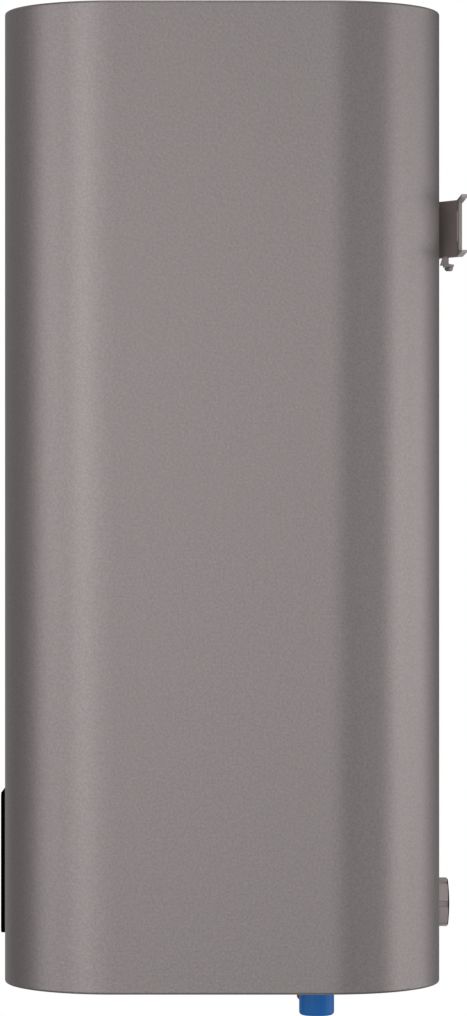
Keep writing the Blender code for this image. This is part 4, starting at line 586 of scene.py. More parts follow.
class Socket:
    """An output of a material's node. Arithmetic on it adds Math nodes to the same material."""

    def __init__(self, recipe, output):
        self.recipe = recipe
        self.output = output

    def math(self, operation, *values):
        """A Math node on the given values."""
        return self.recipe.node("ShaderNodeMath", {"operation": operation}, dict(enumerate(values)))[0]

    def __add__(self, other):
        return self.math("ADD", self, other)

    def __sub__(self, other):
        return self.math("SUBTRACT", self, other)

    def __rsub__(self, other):
        return self.math("SUBTRACT", other, self)

    def __mul__(self, other):
        return self.math("MULTIPLY", self, other)

    def __truediv__(self, other):
        return self.math("DIVIDE", self, other)

    __radd__ = __add__
    __rmul__ = __mul__

    def larger(self, other):
        """The larger of two values."""
        return self.math("MAXIMUM", self, other)

    def smooth(self, low, high, to_low=0.0, to_high=1.0):
        """The value eased from one range to another."""
        settings = {"interpolation_type": "SMOOTHSTEP", "clamp": True}
        values = {"Value": self, "From Min": low, "From Max": high, "To Min": to_low, "To Max": to_high}
        return self.recipe.node("ShaderNodeMapRange", settings, values)[0]


class Node:
    """A node whose outputs are read by number or by name."""

    def __init__(self, recipe, node):
        self.recipe = recipe
        self.node = node

    def __getitem__(self, key):
        return Socket(self.recipe, self.node.outputs[key])


class Recipe:
    """The nodes of one material, or of the world, round its main shader."""

    def __init__(self, name, colour=None, roughness=0.5, metallic=0.0, constants=None, owner=None):
        self.owner = owner or bpy.data.materials.new(name)
        self.owner.use_nodes = True
        self.tree = self.owner.node_tree
        self.coordinates = None
        if owner is None:
            self.shader = self.tree.nodes["Principled BSDF"]
            self.owner.diffuse_color = (*colour, 1.0)
            values = {"Base Color": (*colour, 1.0), "Roughness": roughness, "Metallic": metallic}
            self.fill(self.shader, {**values, **(constants or {})})

    def fill(self, node, values):
        """Set or link a node's inputs, given by name or number."""
        for key, value in values.items():
            target = node.inputs[key]
            if isinstance(value, Socket):
                self.tree.links.new(value.output, target)
            else:
                target.default_value = value

    def node(self, kind, settings=None, sockets=None):
        """A node of a type, with its settings made first, and the values or links of its inputs."""
        node = self.tree.nodes.new(kind)
        for key, value in (settings or {}).items():
            setattr(node, key, value)
        self.fill(node, sockets or {})
        return Node(self, node)

    def place(self, stretch=(1.0, 1.0, 1.0)):
        """Object coordinates, stretched along each axis."""
        if self.coordinates is None:
            self.coordinates = self.node("ShaderNodeTexCoord")["Object"]
        if stretch == (1.0, 1.0, 1.0):
            return self.coordinates
        sockets = {0: self.coordinates, 1: stretch}
        return self.node("ShaderNodeVectorMath", {"operation": "MULTIPLY"}, sockets)[0]

    def part(self, vector, axis):
        """One part of a vector, by its axis."""
        return self.node("ShaderNodeSeparateXYZ", None, {0: vector})[axis]

    def noise(self, scale, detail=2.0, roughness=0.5, place=None):
        """Noise from zero to one, with so many features in a metre."""
        sockets = {"Vector": place or self.place(), "Scale": scale, "Detail": detail, "Roughness": roughness}
        return self.node("ShaderNodeTexNoise", None, sockets)["Fac"]

    def cells(self, scale):
        """Distance within round cells, with so many cells in a metre."""
        return self.node("ShaderNodeTexVoronoi", None, {"Vector": self.place(), "Scale": scale})["Distance"]

    def blend(self, factor, first, second):
        """A colour between two, by a factor."""
        sockets = {0: factor, 6: (*first, 1.0), 7: (*second, 1.0)}
        return self.node("ShaderNodeMix", {"data_type": "RGBA"}, sockets)[2]

    def tint(self, factor, colour, low, high):
        """A colour scaled between two shares of itself, by a factor."""
        return self.blend(factor, [c * low for c in colour], [min(1.0, c * high) for c in colour])

    def bump(self, height, distance):
        """Relief of so many metres on the main shader."""
        sockets = {"Height": height, "Distance": distance, "Strength": 1.0}
        self.fill(self.shader, {"Normal": self.node("ShaderNodeBump", None, sockets)["Normal"]})

    def paint(self, tone, roughness=None, others=None):
        """Link what changes over the surface to the main shader, and give back the material."""
        rough = {} if roughness is None else {"Roughness": roughness}
        self.fill(self.shader, {"Base Color": tone, **rough, **(others or {})})
        return self.owner

    def seen_white(self, backdrop):
        """One for camera rays, and the backdrop's share for rays that metal or glass has sent on."""
        rays = self.node("ShaderNodeLightPath")
        mirrored = rays["Is Glossy Ray"].larger(rays["Is Transmission Ray"])
        return rays["Is Camera Ray"].larger(mirrored * backdrop)

    def whiten(self, kind, share, shader, output):
        """Mix plain white light over a shader by a share, and send it out."""
        white = self.node(kind, None, {"Color": WHITE, "Strength": 1.0})[0]
        plain = Socket(self, shader.outputs[0])
        mix = self.node("ShaderNodeMixShader", None, {0: share, 1: plain, 2: white})
        self.fill(self.tree.nodes[output], {"Surface": mix[0]})


def scaled(base, shares):
    """A colour times a share for each of red, green and blue."""
    return [c * share for c, share in zip(base, shares)]


def metallic_paint(name, base):
    """Baked metallic paint: fine flakes in a slight orange-peel relief."""
    recipe = Recipe(name, base, 0.42, 0.92, {"Coat Weight": 0.05, "Coat Roughness": 0.3})
    flakes = recipe.noise(1500.0, 1.0, 0.6)
    grains = recipe.noise(760.0, 1.0, 0.6)
    recipe.bump(recipe.noise(560.0, 1.0, 0.5), 0.00008)
    speckle = flakes * 0.4 + grains * 0.6
    return recipe.paint(recipe.tint(speckle.smooth(0.30, 0.70), base, 0.88, 1.12),
                        flakes.smooth(0.25, 0.75, 0.38, 0.46))


def grained(name, base, roughness, grain, depth, shades=(0.97, 1.03), shine=0.5, detail=2.0,
            tone=(28.0, 2.0), dull=(-0.05, 0.06), metallic=0.0, stretch=(1.0, 1.0, 1.0)):
    """A finish whose fine grain makes its relief and roughness, with a faint change of tone over it.

    The grain is long in a direction whose stretch is small.
    """
    recipe = Recipe(name, base, roughness, metallic, {"Specular IOR Level": shine})
    fine = recipe.noise(grain, detail, 0.6, recipe.place(stretch))
    recipe.bump(fine, depth)
    return recipe.paint(recipe.tint(recipe.noise(*tone).smooth(0.3, 0.7), base, *shades),
                        fine.smooth(0.3, 0.7, roughness + dull[0], roughness + dull[1]))


def drawn_metal(name, base, roughness, grain, stretch):
    """Drawn metal: fine streaks along Z."""
    return grained(name, base, roughness, grain, 0.00002, (0.88, 1.08), 0.5, 3.0, (18.0, 3.0), (-0.06, 0.12),
                   1.0, (1.0, 1.0, stretch))


def gloss_plastic(name, base):
    """Panel front: polished and lacquered on its face, dull on its edges, with a faint haze of handling."""
    recipe = Recipe(name, base, 0.12, 0.0, {"Coat Roughness": 0.03, "Specular IOR Level": 0.0})
    haze = recipe.noise(35.0, 4.0, 0.6)
    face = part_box("panel_front")[0].y
    edge = recipe.part(recipe.place(), "Y").smooth(face + PANEL_POLISH, face + 2 * PANEL_POLISH)
    return recipe.paint(recipe.tint(haze, base, 0.8, 1.4), edge * 0.5 + haze.smooth(0.35, 0.75, 0.07, 0.14),
                        {"Coat Weight": (1 - edge) * 0.8})


def zinc_plate(name, base):
    """Zinc plating: bright metal with crystalline patches and a faint yellow-blue tint."""
    recipe = Recipe(name, base, 0.40, 0.70)
    patches = recipe.cells(260.0)
    drift = recipe.noise(90.0, 3.0)
    recipe.bump(patches, 0.00003)
    yellow = scaled(base, (1.05, 1.0, 0.88))
    blue = scaled(base, (0.92, 0.97, 1.06))
    return recipe.paint(recipe.blend(drift.smooth(0.35, 0.65), yellow, blue),
                        patches.smooth(0.0, 0.8, 0.34, 0.50))


def cast_brass(name, base):
    """Machined brass with faint tarnish."""
    recipe = Recipe(name, base, 0.3, 1.0)
    tarnish = recipe.noise(120.0, 4.0, 0.6)
    recipe.bump(recipe.noise(1600.0, 2.0, 0.5, recipe.place((0.02, 0.02, 1.0))), 0.00002)
    return recipe.paint(recipe.blend(tarnish.smooth(0.5, 0.8), base, scaled(base, (0.66, 0.60, 0.50))),
                        tarnish.smooth(0.3, 0.8, 0.24, 0.48))


def rigid_foam(name, base):
    """Sprayed polyurethane foam: open cells and darker skin."""
    recipe = Recipe(name, base, 0.95)
    cells = recipe.cells(420.0)
    skin = recipe.noise(30.0, 3.0)
    recipe.bump(cells, 0.0006)
    return recipe.paint(recipe.blend(skin.smooth(0.4, 0.7), base, [c * 0.78 for c in base]),
                        cells.smooth(0.0, 0.8, 0.85, 1.0))


def soft_rubber(name, base):
    """Rubber with a faint bloom."""
    recipe = Recipe(name, base, 0.7)
    bloom = recipe.noise(160.0, 4.0, 0.6)
    recipe.bump(bloom, 0.00008)
    return recipe.paint(recipe.blend(bloom.smooth(0.5, 0.8), base, [c * 2.2 + 0.01 for c in base]),
                        bloom.smooth(0.3, 0.8, 0.6, 0.82))


def circuit_board(name, base):
    """Board with solder-masked tracks: thin straight lines on a green field."""
    recipe = Recipe(name, base, 0.35, 0.0, {"Coat Weight": 0.4})
    lanes = recipe.node("ShaderNodeTexBrick", {"offset": 0.37, "squash": 1.0}, {
        "Vector": recipe.place(), "Scale": 120.0, "Mortar Size": 0.06, "Bias": 0.0,
        "Color1": (*base, 1.0), "Color2": (*[c * 0.8 for c in base], 1.0),
        "Mortar": (*[min(1.0, c * 1.9 + 0.02) for c in base], 1.0)})
    recipe.bump(lanes["Fac"], 0.00003)
    return recipe.paint(lanes["Color"])


def woven_sleeve(name, base):
    """Braided sleeve on the wires: two crossing sets of fine diagonal strands, with painted shade and
    highlight.
    """
    recipe = Recipe(name, base, 0.7)
    settings = {"bands_direction": "DIAGONAL"}
    first, second = [recipe.node("ShaderNodeTexWave", settings, {"Vector": place, "Scale": 260.0})["Fac"]
                     for place in (recipe.place(), recipe.place((-1.0, 1.0, 1.0)))]
    weave_and_painted_shading = first.larger(second)
    recipe.bump(weave_and_painted_shading, 0.0002)
    # Painted shade: darker colour in the gaps between the strands; painted highlight: lighter colour on their
    # crests
    return recipe.paint(recipe.blend(weave_and_painted_shading, [c * 0.5 for c in base], [c * 1.6 + 0.01 for c in base]))


def lit_sign(name, base, strength):
    """A lit segment of the display, its brightness varying a little at random."""
    recipe = Recipe(name, base, 0.4, 0.0, {"Emission Strength": strength})
    tone = recipe.tint(recipe.noise(400.0, 1.0).smooth(0.2, 0.8), base, 0.85, 1.0)
    return recipe.paint(tone, None, {"Emission Color": tone})


def printed_sign(name, base):
    """Printed ink with a faint screen grain."""
    recipe = Recipe(name, base, 0.45)
    grain = recipe.noise(2500.0, 1.0)
    return recipe.paint(recipe.tint(grain, base, 0.9, 1.05), grain.smooth(0.3, 0.7, 0.4, 0.55))


def make_finishes():
    """Every finish by its slot's name, and those of the signs, from its maker, colour and other values."""
    chosen = bpy.context.scene.heater_finishes
    cap = (0.34, 1200.0, 0.00002, (0.94, 1.06), 0.25)
    rows = {
        "titanium_paint": (metallic_paint, chosen.paint),
        "grey_plastic": (grained, chosen.cover, 0.42, 700.0, 0.00004, (0.988, 1.012)),
        "black_gloss": (gloss_plastic, chosen.gloss),
        "black_plastic": (grained, (0.005, 0.005, 0.005), 0.5, 900.0, 0.00002),
        "bracket_steel": (grained, chosen.bracket, 0.40, 1400.0, 0.00004, (0.97, 1.03), 0.04, 2.0,
                          (70.0, 3.0), (-0.06, 0.06)),
        "zinc_steel": (zinc_plate, (0.42, 0.42, 0.42)),
        "stainless": (drawn_metal, (0.58, 0.58, 0.57), 0.28, 900.0, 0.02),
        "brass": (cast_brass, (0.72, 0.53, 0.24)),
        "copper": (drawn_metal, (0.72, 0.40, 0.26), 0.32, 900.0, 0.1),
        "magnesium": (drawn_metal, (0.50, 0.50, 0.49), 0.55, 500.0, 0.3),
        "foam": (rigid_foam, (0.78, 0.66, 0.38)),
        "rubber": (soft_rubber, (0.022, 0.022, 0.022)),
        "blue_plastic": (grained, chosen.blue_cap, *cap),
        "red_plastic": (grained, chosen.red_cap, *cap),
        "white_plastic": (grained, (0.72, 0.72, 0.69), 0.45, 900.0, 0.00003),
        "board_green": (circuit_board, (0.015, 0.12, 0.05)),
        "loom_sleeve": (woven_sleeve, (0.045, 0.045, 0.045)),
        "lit_sign": (lit_sign, (0.75, 0.86, 0.95), 1.2),
        "printed_sign": (printed_sign, chosen.print),
    }
    return {name: maker(name, tuple(base), *values) for name, (maker, base, *values) in rows.items()}


# Operators


def hole(node, axis, start, end, radius, steps=48):
    """Closed grid of a round hole about a node's middle, between two places on an axis."""
    ends = np.array([middle_of(node, "x", "y", "z")] * 2)
    ends[:, axis] = start, end
    return rod_grid(*ends, radius, steps)


def casing_openings(sizes, inset):
    """Solids of the panel's window, and of the holes for the stud, the bolts and the cover's screws."""
    low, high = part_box("panel_front")
    window = tall_box((low.x + inset, CASE_LOW.y - OVERRUN, low.z + inset),
                      (high.x - inset, CASE_LOW.y + sizes.sheet + OVERRUN, high.z - inset))
    back = CASE_HIGH.y
    seat = CASE_LOW.z + sizes.seat_drop
    behind = [("spacer_stud", STUD_HOLE)] + [(node, BOLT_HOLE) for node in BOLTS]
    rear_holes = [hole(node, Y, back - sizes.sheet - OVERRUN, back + OVERRUN, radius, steps=20)
                  for node, radius in behind]
    seat_holes = [hole(node, Z, seat - OVERRUN, seat + sizes.sheet + OVERRUN, SCREW_HOLE, steps=16)
                  for node in COVER_SCREWS]
    return [window, *rear_holes, *seat_holes]


class HEATER_OT_casing(bpy.types.Operator):
    """Make the painted wrap with its rolled beads and inner seats"""
    bl_idname = "heater.casing"
    bl_label = "Casing"

    def execute(self, context):
        sizes = context.scene.heater_casing
        width, depth, middle_y = case_frame()
        bead = sizes.bead_radius
        drop = sizes.seat_drop
        bend = sizes.sheet
        seat = 2 * bead + sizes.seat_width
        low = CASE_LOW.z
        high = CASE_HIGH.z
        corners = [(seat, low + drop), (2 * bead, low + drop), (2 * bead, low), (0, low),
                   (0, high), (2 * bead, high), (2 * bead, high - drop), (seat, high - drop)]
        section = sheet_loop(corners, (bend, *[bead - MICRO] * 4, bend), -sizes.sheet, steps=8)
        grid = swept_ring(section, plan_ring(width, depth, sizes.corner_radius), sizes.corner_radius)
        casing = fine_piece("casing", grid, "titanium_paint", (0.0, middle_y, 0.0), wrap_rows=True)
        cut_away(casing, *casing_openings(sizes, context.scene.heater_trim.window_border))
        return {"FINISHED"}


def cover_openings(sizes, trim):
    """Solids of the bottom cover's holes for the pipes, the gland, the reset button and the screws."""
    pipe_hole = trim.pipe_radius + FIT_GAP + GROMMET_WALL
    holes = [("cold_grommet", pipe_hole), ("reset_button", RESET_HOLE), ("hot_grommet", pipe_hole),
             ("cable_gland", trim.gland_thread + FIT_GAP)] + [(node, SCREW_HOLE) for node in COVER_SCREWS]
    low = CASE_LOW.z
    return [hole(node, Z, low - OVERRUN, low + 2 * sizes.seat_drop, radius) for node, radius in holes]


class HEATER_OT_covers(bpy.types.Operator):
    """Make the moulded top and bottom covers"""
    bl_idname = "heater.covers"
    bl_label = "Covers"

    def execute(self, context):
        sizes = context.scene.heater_casing
        width, depth, middle_y = case_frame()
        inset = 2 * sizes.bead_radius + FIT_GAP
        border = inset + sizes.cover_border
        ring = plan_ring(width, depth, sizes.corner_radius)
        radii = (sizes.cover_edge, FIELD_EDGE, FIELD_EDGE)
        for name, end, outward in (("top_cover", CASE_HIGH.z, 1), ("bottom_cover", CASE_LOW.z, -1)):
            face = end - outward * sizes.cover_drop
            sunk = face - outward * sizes.cover_step
            skirt = end - outward * (sizes.seat_drop - FIT_GAP)
            corners = [(inset, skirt), (inset, face), (border, face), (border + COVER_SLOPE, sunk),
                       (border + COVER_FIELD, sunk)]
            outer, inner = np.split(sheet_loop(corners, radii, sizes.cover_wall * -outward), 2)
            grid = swept_ring(np.concatenate((inner, outer)), ring, sizes.corner_radius)
            cover = fine_piece(name, grid, "grey_plastic", (0.0, middle_y, 0.0))
            rework(cover.data, fill_holes)
            shade(cover)
            if name == "bottom_cover":
                cut_away(cover, *cover_openings(sizes, context.scene.heater_trim))
        return {"FINISHED"}


def figure_grids(height, back, front):
    """Grids of the lit bars and of the degree ring."""
    half = height / 2
    half_wide = height * FIGURE_HALF_WIDTH
    thick = height * FIGURE_BAR
    gap = thick * FIGURE_GAP
    pitch = height * FIGURE_PITCH
    grids = []
    for index, figure in enumerate(SHOWN_FIGURES):
        x = (index - (len(SHOWN_FIGURES) - 1) / 2) * pitch
        left = x - half_wide
        right = x + half_wide
        bars = (((left + gap, half), (right - gap, half)), ((right, half - gap), (right, gap)),
                ((right, -gap), (right, gap - half)), ((left + gap, -half), (right - gap, -half)),
                ((left, -gap), (left, gap - half)), ((left, half - gap), (left, gap)),
                ((left + gap, 0.0), (right - gap, 0.0)))
        for (start, end), lit in zip(bars, FIGURE_BARS[figure]):
            if lit:
                bar = flat_grid(bar_outline(start, end, thick, steps=3), back, front)
                grids.append((bar, False, True, True))
    ring = arc_grid(thick * 2, thick / 2, 0.0, DEGREE_TURN, back, front)
    ring = ring + (pitch * DEGREE_PLACE, half - thick, 0.0)
    return grids + [(ring, True, True, False)]


class HEATER_OT_panel(bpy.types.Operator):
    """Make the gloss panel front with its lit figures"""
    bl_idname = "heater.panel"
    bl_label = "Control panel"

    def execute(self, context):
        sizes = context.scene.heater_trim
        low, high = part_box("panel_front")
        corner = sizes.glass_corner
        thickness = high.y - low.y - MICRO
        middle = ((low.x + high.x) / 2, high.y, (low.z + high.z) / 2)
        corners = [(0.0, 0.0), (0.0, thickness), (PANEL_REACH * corner, thickness)]
        section = rounded_line(corners, (sizes.glass_edge,))[0]
        grid = swept_ring(section, plan_ring(high.x - low.x, high.z - low.z, corner, steps=12), corner)
        front = fine_piece("panel_front", grid, "black_gloss", middle, BODY, FRONT_TURN, close_ends=True)
        cut_away(front, *[hole(node, Y, low.y - OVERRUN, high.y + OVERRUN, sizes.key_radius + FIT_GAP)
                          for node, _ in KEYS])
        grids = figure_grids(sizes.digit_height, thickness - 4 * MICRO, thickness + MICRO / 2)
        surface("display_figures", grids, "lit_sign", BODY, (), FRONT_TURN, middle)
        return {"FINISHED"}


def sign_grids(body, half_line, reach, back, front):
    """Grids of a key's sign: a broken ring and a bar, three bars, a bar, or a cross of four arms."""
    grids = []
    if body == "power_key":
        grids = [arc_grid(reach, half_line, *POWER_RING, back, front)]
        outlines = [bar_outline((0.0, reach * POWER_BAR[0]), (0.0, reach * POWER_BAR[1]), half_line)]
    elif body == "mode_key":
        outlines = [bar_outline((-reach * share, reach * level), (reach * share, reach * level), half_line)
                    for level, share in MODE_BARS]
    elif body == "minus_key":
        outlines = [bar_outline((-reach, 0.0), (reach, 0.0), half_line)]
    else:
        arm = np.array([(half_line, half_line), (half_line, reach), (-half_line, reach)])
        turns = [np.array([(c, s), (-s, c)]) for c, s in ((1, 0), (0, 1), (-1, 0), (0, -1))]
        outlines = [np.concatenate([arm @ turn for turn in turns])]
    grids += [flat_grid(outline, back, front) for outline in outlines]
    return [(grid, False, True, True) for grid in grids]


class HEATER_OT_buttons(bpy.types.Operator):
    """Make the push buttons with their raised signs"""
    bl_idname = "heater.buttons"
    bl_label = "Buttons"

    def execute(self, context):
        sizes = context.scene.heater_trim
        panel_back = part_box("panel_front")[1].y
        radius = sizes.key_radius
        dish = sizes.key_dish
        stem = radius / 3
        for node, body in KEYS:
            low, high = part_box(node)
            x, z = middle_of(node, "x", "z")
            front = high.y - low.y
            flange_face = high.y - panel_back - FIT_GAP
            flange_back = flange_face - KEY_FLANGE
            flange = (high.x - low.x) / 2
            corners = [(0.0, front - dish), (radius - 2 * dish, front - dish), (radius - dish, front),
                       (radius, front), (radius, flange_face), (flange, flange_face), (flange, flange_back),
                       (stem, flange_back), (stem, 0.0), (0.0, 0.0)]
            radii = [dish, dish / 4, dish / 2] + [FIT_GAP / 2] * 5
            base = (x, high.y, z)
            turned_piece(node, corners, radii, "black_plastic", base, body, arc_steps=3, turn=FRONT_TURN)
            reach = radius * SIGN_REACH
            grids = sign_grids(body, sizes.line_width / 2, reach, front - 2 * dish, front - dish / 4)
            surface("sign_" + body, grids, "printed_sign", body, (), FRONT_TURN, base)
        return {"FINISHED"}


class HEATER_OT_bracket(bpy.types.Operator):
    """Make the wall bracket, its bolts and its lock screws"""
    bl_idname = "heater.bracket"
    bl_label = "Wall bracket"

    def execute(self, context):
        sizes = context.scene.heater_trim
        half = (sizes.slot_height - sizes.slot_width) / 2
        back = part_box("wall_bracket")[0].y
        slots = []
        for x in (-sizes.slot_place, sizes.slot_place):
            ends = ((x, sizes.slot_rise - half), (x, sizes.slot_rise + half))
            outline = bar_outline(*ends, sizes.slot_width / 2, steps=9)
            slots.append(flat_grid(outline, back, OVERRUN)[..., (0, 2, 1)])
        eased_copy("wall_bracket", "bracket_steel", BRACKET_EDGE, cutters=slots)
        for node in ("lock_screw_left", "lock_screw_right"):
            eased_copy(node, "zinc_steel", LOCK_SCREW_EDGE)
        for node in BOLTS:
            eased_copy(node, "zinc_steel", BOLT_EDGE)
        return {"FINISHED"}


def add_knob(sizes, x, z):
    """A knob turned about its bore. In a flute its rim falls by the depth, eased over the flute's edges."""
    low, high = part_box("spacer_knob")
    radius = (high.z - low.z) / 2
    depth = high.y - low.y
    steps = 360
    angles = np.arange(steps) * 2 * math.pi / steps
    from_flute = ((angles * FLUTES / (2 * math.pi) + 0.5) % 1.0 - 0.5) * 2 * math.pi * radius / FLUTES
    edge = sizes.flute_width / FLUTE_EDGES
    dip = np.clip((sizes.flute_width / 2 + edge - np.abs(from_flute)) / edge, 0.0, 1.0)
    dip = dip * dip * (3 - 2 * dip) * sizes.flute_depth / radius
    rim = sizes.knob_edge
    bore = STUD_HOLE
    bore_depth = KNOB_BORE_DEPTH * depth
    corners = [(0.0, depth), (radius, depth), (radius, 0.0), (bore + rim, 0.0), (bore, rim),
               (bore, bore_depth), (0.0, bore_depth)]
    profile = rounded_line(corners, (rim, rim, MICRO, MICRO, rim), steps=4)[0]
    outer = np.clip((profile[:, :1] - radius * FLUTE_START) / (radius * FLUTE_EASE), 0.0, 1.0)
    grid = turned_grid(profile, steps, 1.0 - outer * dip[None])
    fine_piece("spacer_knob", grid, "grey_plastic", (x, low.y, z), "spacer_turner", WALL_TURN)


def add_pad(x, z):
    """A pad whose crown falls from its middle by the square of the distance."""
    low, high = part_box("spacer_pad")
    rise = high.y - low.y
    radius = (high.z - low.z) / 2
    across = np.linspace(0.0, 1.0, 12)
    crown = np.stack((radius * across, FIT_GAP + (rise - FIT_GAP) * (1 - across ** 2)), axis=1)
    pad = np.concatenate((crown, [(radius, 0.0), (0.0, 0.0)]))
    grid = turned_grid(pad, steps=64)
    fine_piece("spacer_pad", grid, "black_plastic", (x, low.y, z), "spacer_slider", WALL_TURN)


class HEATER_OT_spacer(bpy.types.Operator):
    """Make the fluted spacer knob and its pad"""
    bl_idname = "heater.spacer"
    bl_label = "Wall spacer"

    def execute(self, context):
        x, z = middle_of("spacer_knob", "x", "z")
        add_knob(context.scene.heater_trim, x, z)
        add_pad(x, z)
        return {"FINISHED"}


def add_cap(node, body, finish, sizes):
    """A thin cup turned about its pipe, open upwards, with a round lower edge."""
    base, outer, height = upright(node)
    inner = outer - sizes.cap_wall
    floor = sizes.cap_floor
    corners = [(0.0, floor), (inner, floor), (inner, height), (outer, height), (outer, 0.0), (0.0, 0.0)]
    radii = (sizes.cap_edge - floor, MICRO, MICRO, sizes.cap_edge)
    turned_piece(node, corners, radii, finish, base, body, steps=96, arc_steps=8)


def add_grommet(node, sizes):
    """A rubber ring turned about its pipe, with a flange over the cover and round lips."""
    base, flange, top = upright(node)
    bore = sizes.pipe_radius + FIT_GAP
    wall = bore + GROMMET_WALL
    flange_low = top - GROMMET_FLANGE
    corners = [(flange, top), (flange, flange_low), (wall, flange_low), (wall, 0.0), (bore, 0.0),
               (bore, top)]
    radii = [GROMMET_LIP] * 2 + [MICRO] + [GROMMET_LIP] * 2
    turned_piece(node, corners, radii, "rubber", base, steps=72, arc_steps=5, closed=True)


def add_pipe(side, node, sizes):
    """The bent pipe's own form above the cover, and a turned end below it whose outside carries the thread.

    The thread takes its depth times a triangle wave of height / pitch + turn from the radius. The wave is
    cut flat at its crests and fades out over one pitch at the thread's upper end.
    """
    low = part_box(node)[0]
    x, y = middle_of(side + "_cap", "x", "y")
    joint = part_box(side + "_grommet")[1].z + OVERRUN
    reach = 2 * sizes.pipe_radius
    pipe = plain_copy(node, "stainless", BODY, "upper_" + node)
    cut_away(pipe, tall_box((x - reach, y - reach, low.z - OVERRUN), (x + reach, y + reach, joint)))
    height = joint - low.z
    pitch = sizes.thread_pitch
    levels = np.concatenate((np.arange(0.0, sizes.thread_length, pitch / THREAD_LEVELS), (height,)))
    steps = 72
    turn = np.arange(steps) / steps
    phase = (levels[:, None] / pitch + turn) % 1.0
    wave = np.clip(THREAD_FLANK * np.abs(phase - 0.5) - THREAD_CREST, 0.0, 1.0)
    fade = np.clip((sizes.thread_length - levels[:, None]) / pitch, 0.0, 1.0)
    lead = np.clip(1.0 - levels[:, None] / pitch, 0.0, 1.0)
    outer = sizes.pipe_radius - np.maximum(wave * fade, lead * THREAD_LEAD) * sizes.thread_depth
    radius = np.concatenate((outer, np.full((2, steps), sizes.pipe_radius - sizes.pipe_wall)))
    heights = np.concatenate((levels, (height, 0.0)))[:, None] + 0 * radius
    angles = 2 * math.pi * turn
    grid = np.stack((radius * np.cos(angles), radius * np.sin(angles), heights), axis=2)
    surface("end_" + node, [(grid, True, True, False)], "stainless", BODY, (node,), None, (x, y, low.z))


class HEATER_OT_pipes(bpy.types.Operator):
    """Make the threaded pipe ends, their grommets and their push-on caps"""
    bl_idname = "heater.pipes"
    bl_label = "Pipe ends"

    def execute(self, context):
        sizes = context.scene.heater_trim
        for side, finish in (("cold", "blue_plastic"), ("hot", "red_plastic")):
            add_cap(side + "_cap", side + "_pipe_cap", finish, sizes)
            add_grommet(side + "_grommet", sizes)
            add_pipe(side, side + "_pipe", sizes)
        return {"FINISHED"}


def add_gland(sizes):
    """A gland turned about its bore. Its head's radius falls by the rib depth times a cosine of the turn."""
    base, head, top = upright("cable_gland")
    bore = sizes.gland_bore
    thread = sizes.gland_thread
    shoulder = GLAND_DOME + GLAND_HEAD
    neck = GLAND_SHOULDER[0] * head
    corners = [(thread, top), (thread, shoulder), (head, shoulder), (head, GLAND_DOME),
               (neck, GLAND_DOME * GLAND_SHOULDER[1]), (bore * GLAND_MOUTH, 0.0), (bore, 0.0), (bore, top)]
    radii = (MICRO, FIT_GAP, 2 * FIT_GAP, GLAND_DOME / 4, FIT_GAP, MICRO)
    profile = rounded_line(corners, radii, steps=5)[0]
    steps = 240
    ribs = 0.5 - 0.5 * np.cos(np.arange(steps) * 2 * math.pi * GLAND_RIBS / steps)
    radius = profile[:, :1]
    level = profile[:, 1:]
    start = GLAND_RIB_START * GLAND_DOME
    on_head = np.clip((level - start) / (GLAND_DOME - start), 0.0, 1.0) * (level < shoulder + MICRO)
    share = 1.0 - on_head * (radius > neck) * ribs * sizes.rib_depth / head
    fine_piece("cable_gland", turned_grid(profile, steps, share), "black_plastic", base, wrap_rows=True)


def add_screw(node):
    """A pan-head screw that points up, turned about its axis, with a cross recess in its head."""
    base, head, top = upright(node)
    x, y, foot = base
    shank = SCREW_HOLE - FIT_GAP
    corners = [(0.0, top), (shank / 2, top), (shank, top - shank), (shank, SCREW_HEAD), (head, SCREW_HEAD),
               (head, 0.0), (0.0, 0.0)]
    radii = (MICRO, MICRO, MICRO, MICRO, SCREW_HEAD * SCREW_ROUND)
    screw = turned_piece(node, corners, radii, "zinc_steel", base, arc_steps=5)
    depth = foot + SCREW_HEAD * CROSS_DEPTH
    cut_away(screw, *[tall_box((x - wide, y - long, foot - OVERRUN), (x + wide, y + long, depth))
                      for wide, long in ((head * CROSS_LONG, head * CROSS_WIDE),
                                         (head * CROSS_WIDE, head * CROSS_LONG))])


class HEATER_OT_inlet(bpy.types.Operator):
    """Make the cable gland, the reset button and the cover's screws"""
    bl_idname = "heater.inlet"
    bl_label = "Cable inlet"

    def execute(self, context):
        add_gland(context.scene.heater_trim)
        eased_copy("reset_button", "red_plastic", FIT_GAP, "reset_key")
        for node in COVER_SCREWS:
            add_screw(node)
        return {"FINISHED"}


class HEATER_OT_finishes(bpy.types.Operator):
    """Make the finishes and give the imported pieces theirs"""
    bl_idname = "heater.finishes"
    bl_label = "Finishes"

    def execute(self, context):
        FINISHES.update(make_finishes())
        slots = {entry["node"]: entry["material_slot"] for entry in frame["record"]["subparts"]}
        for name, node in frame["nodes"].items():
            if not node.material_slots:
                node.data.materials.append(FINISHES[slots[name]])
            for slot in node.material_slots:
                slot.material = FINISHES[slots[name]]
        return {"FINISHED"}


def add_camera(context, settings):
    """Camera square to the right side. Its shift puts the view's middle where the photograph has it."""
    data = bpy.data.cameras.new("camera")
    data.lens = settings.lens
    data.shift_x, data.shift_y = CAMERA_SHIFT
    camera = add_object("camera", data)
    camera.location = (settings.distance, settings.camera_y, settings.camera_z)
    camera.rotation_euler = (math.pi / 2, 0.0, math.pi / 2)
    context.scene.camera = camera


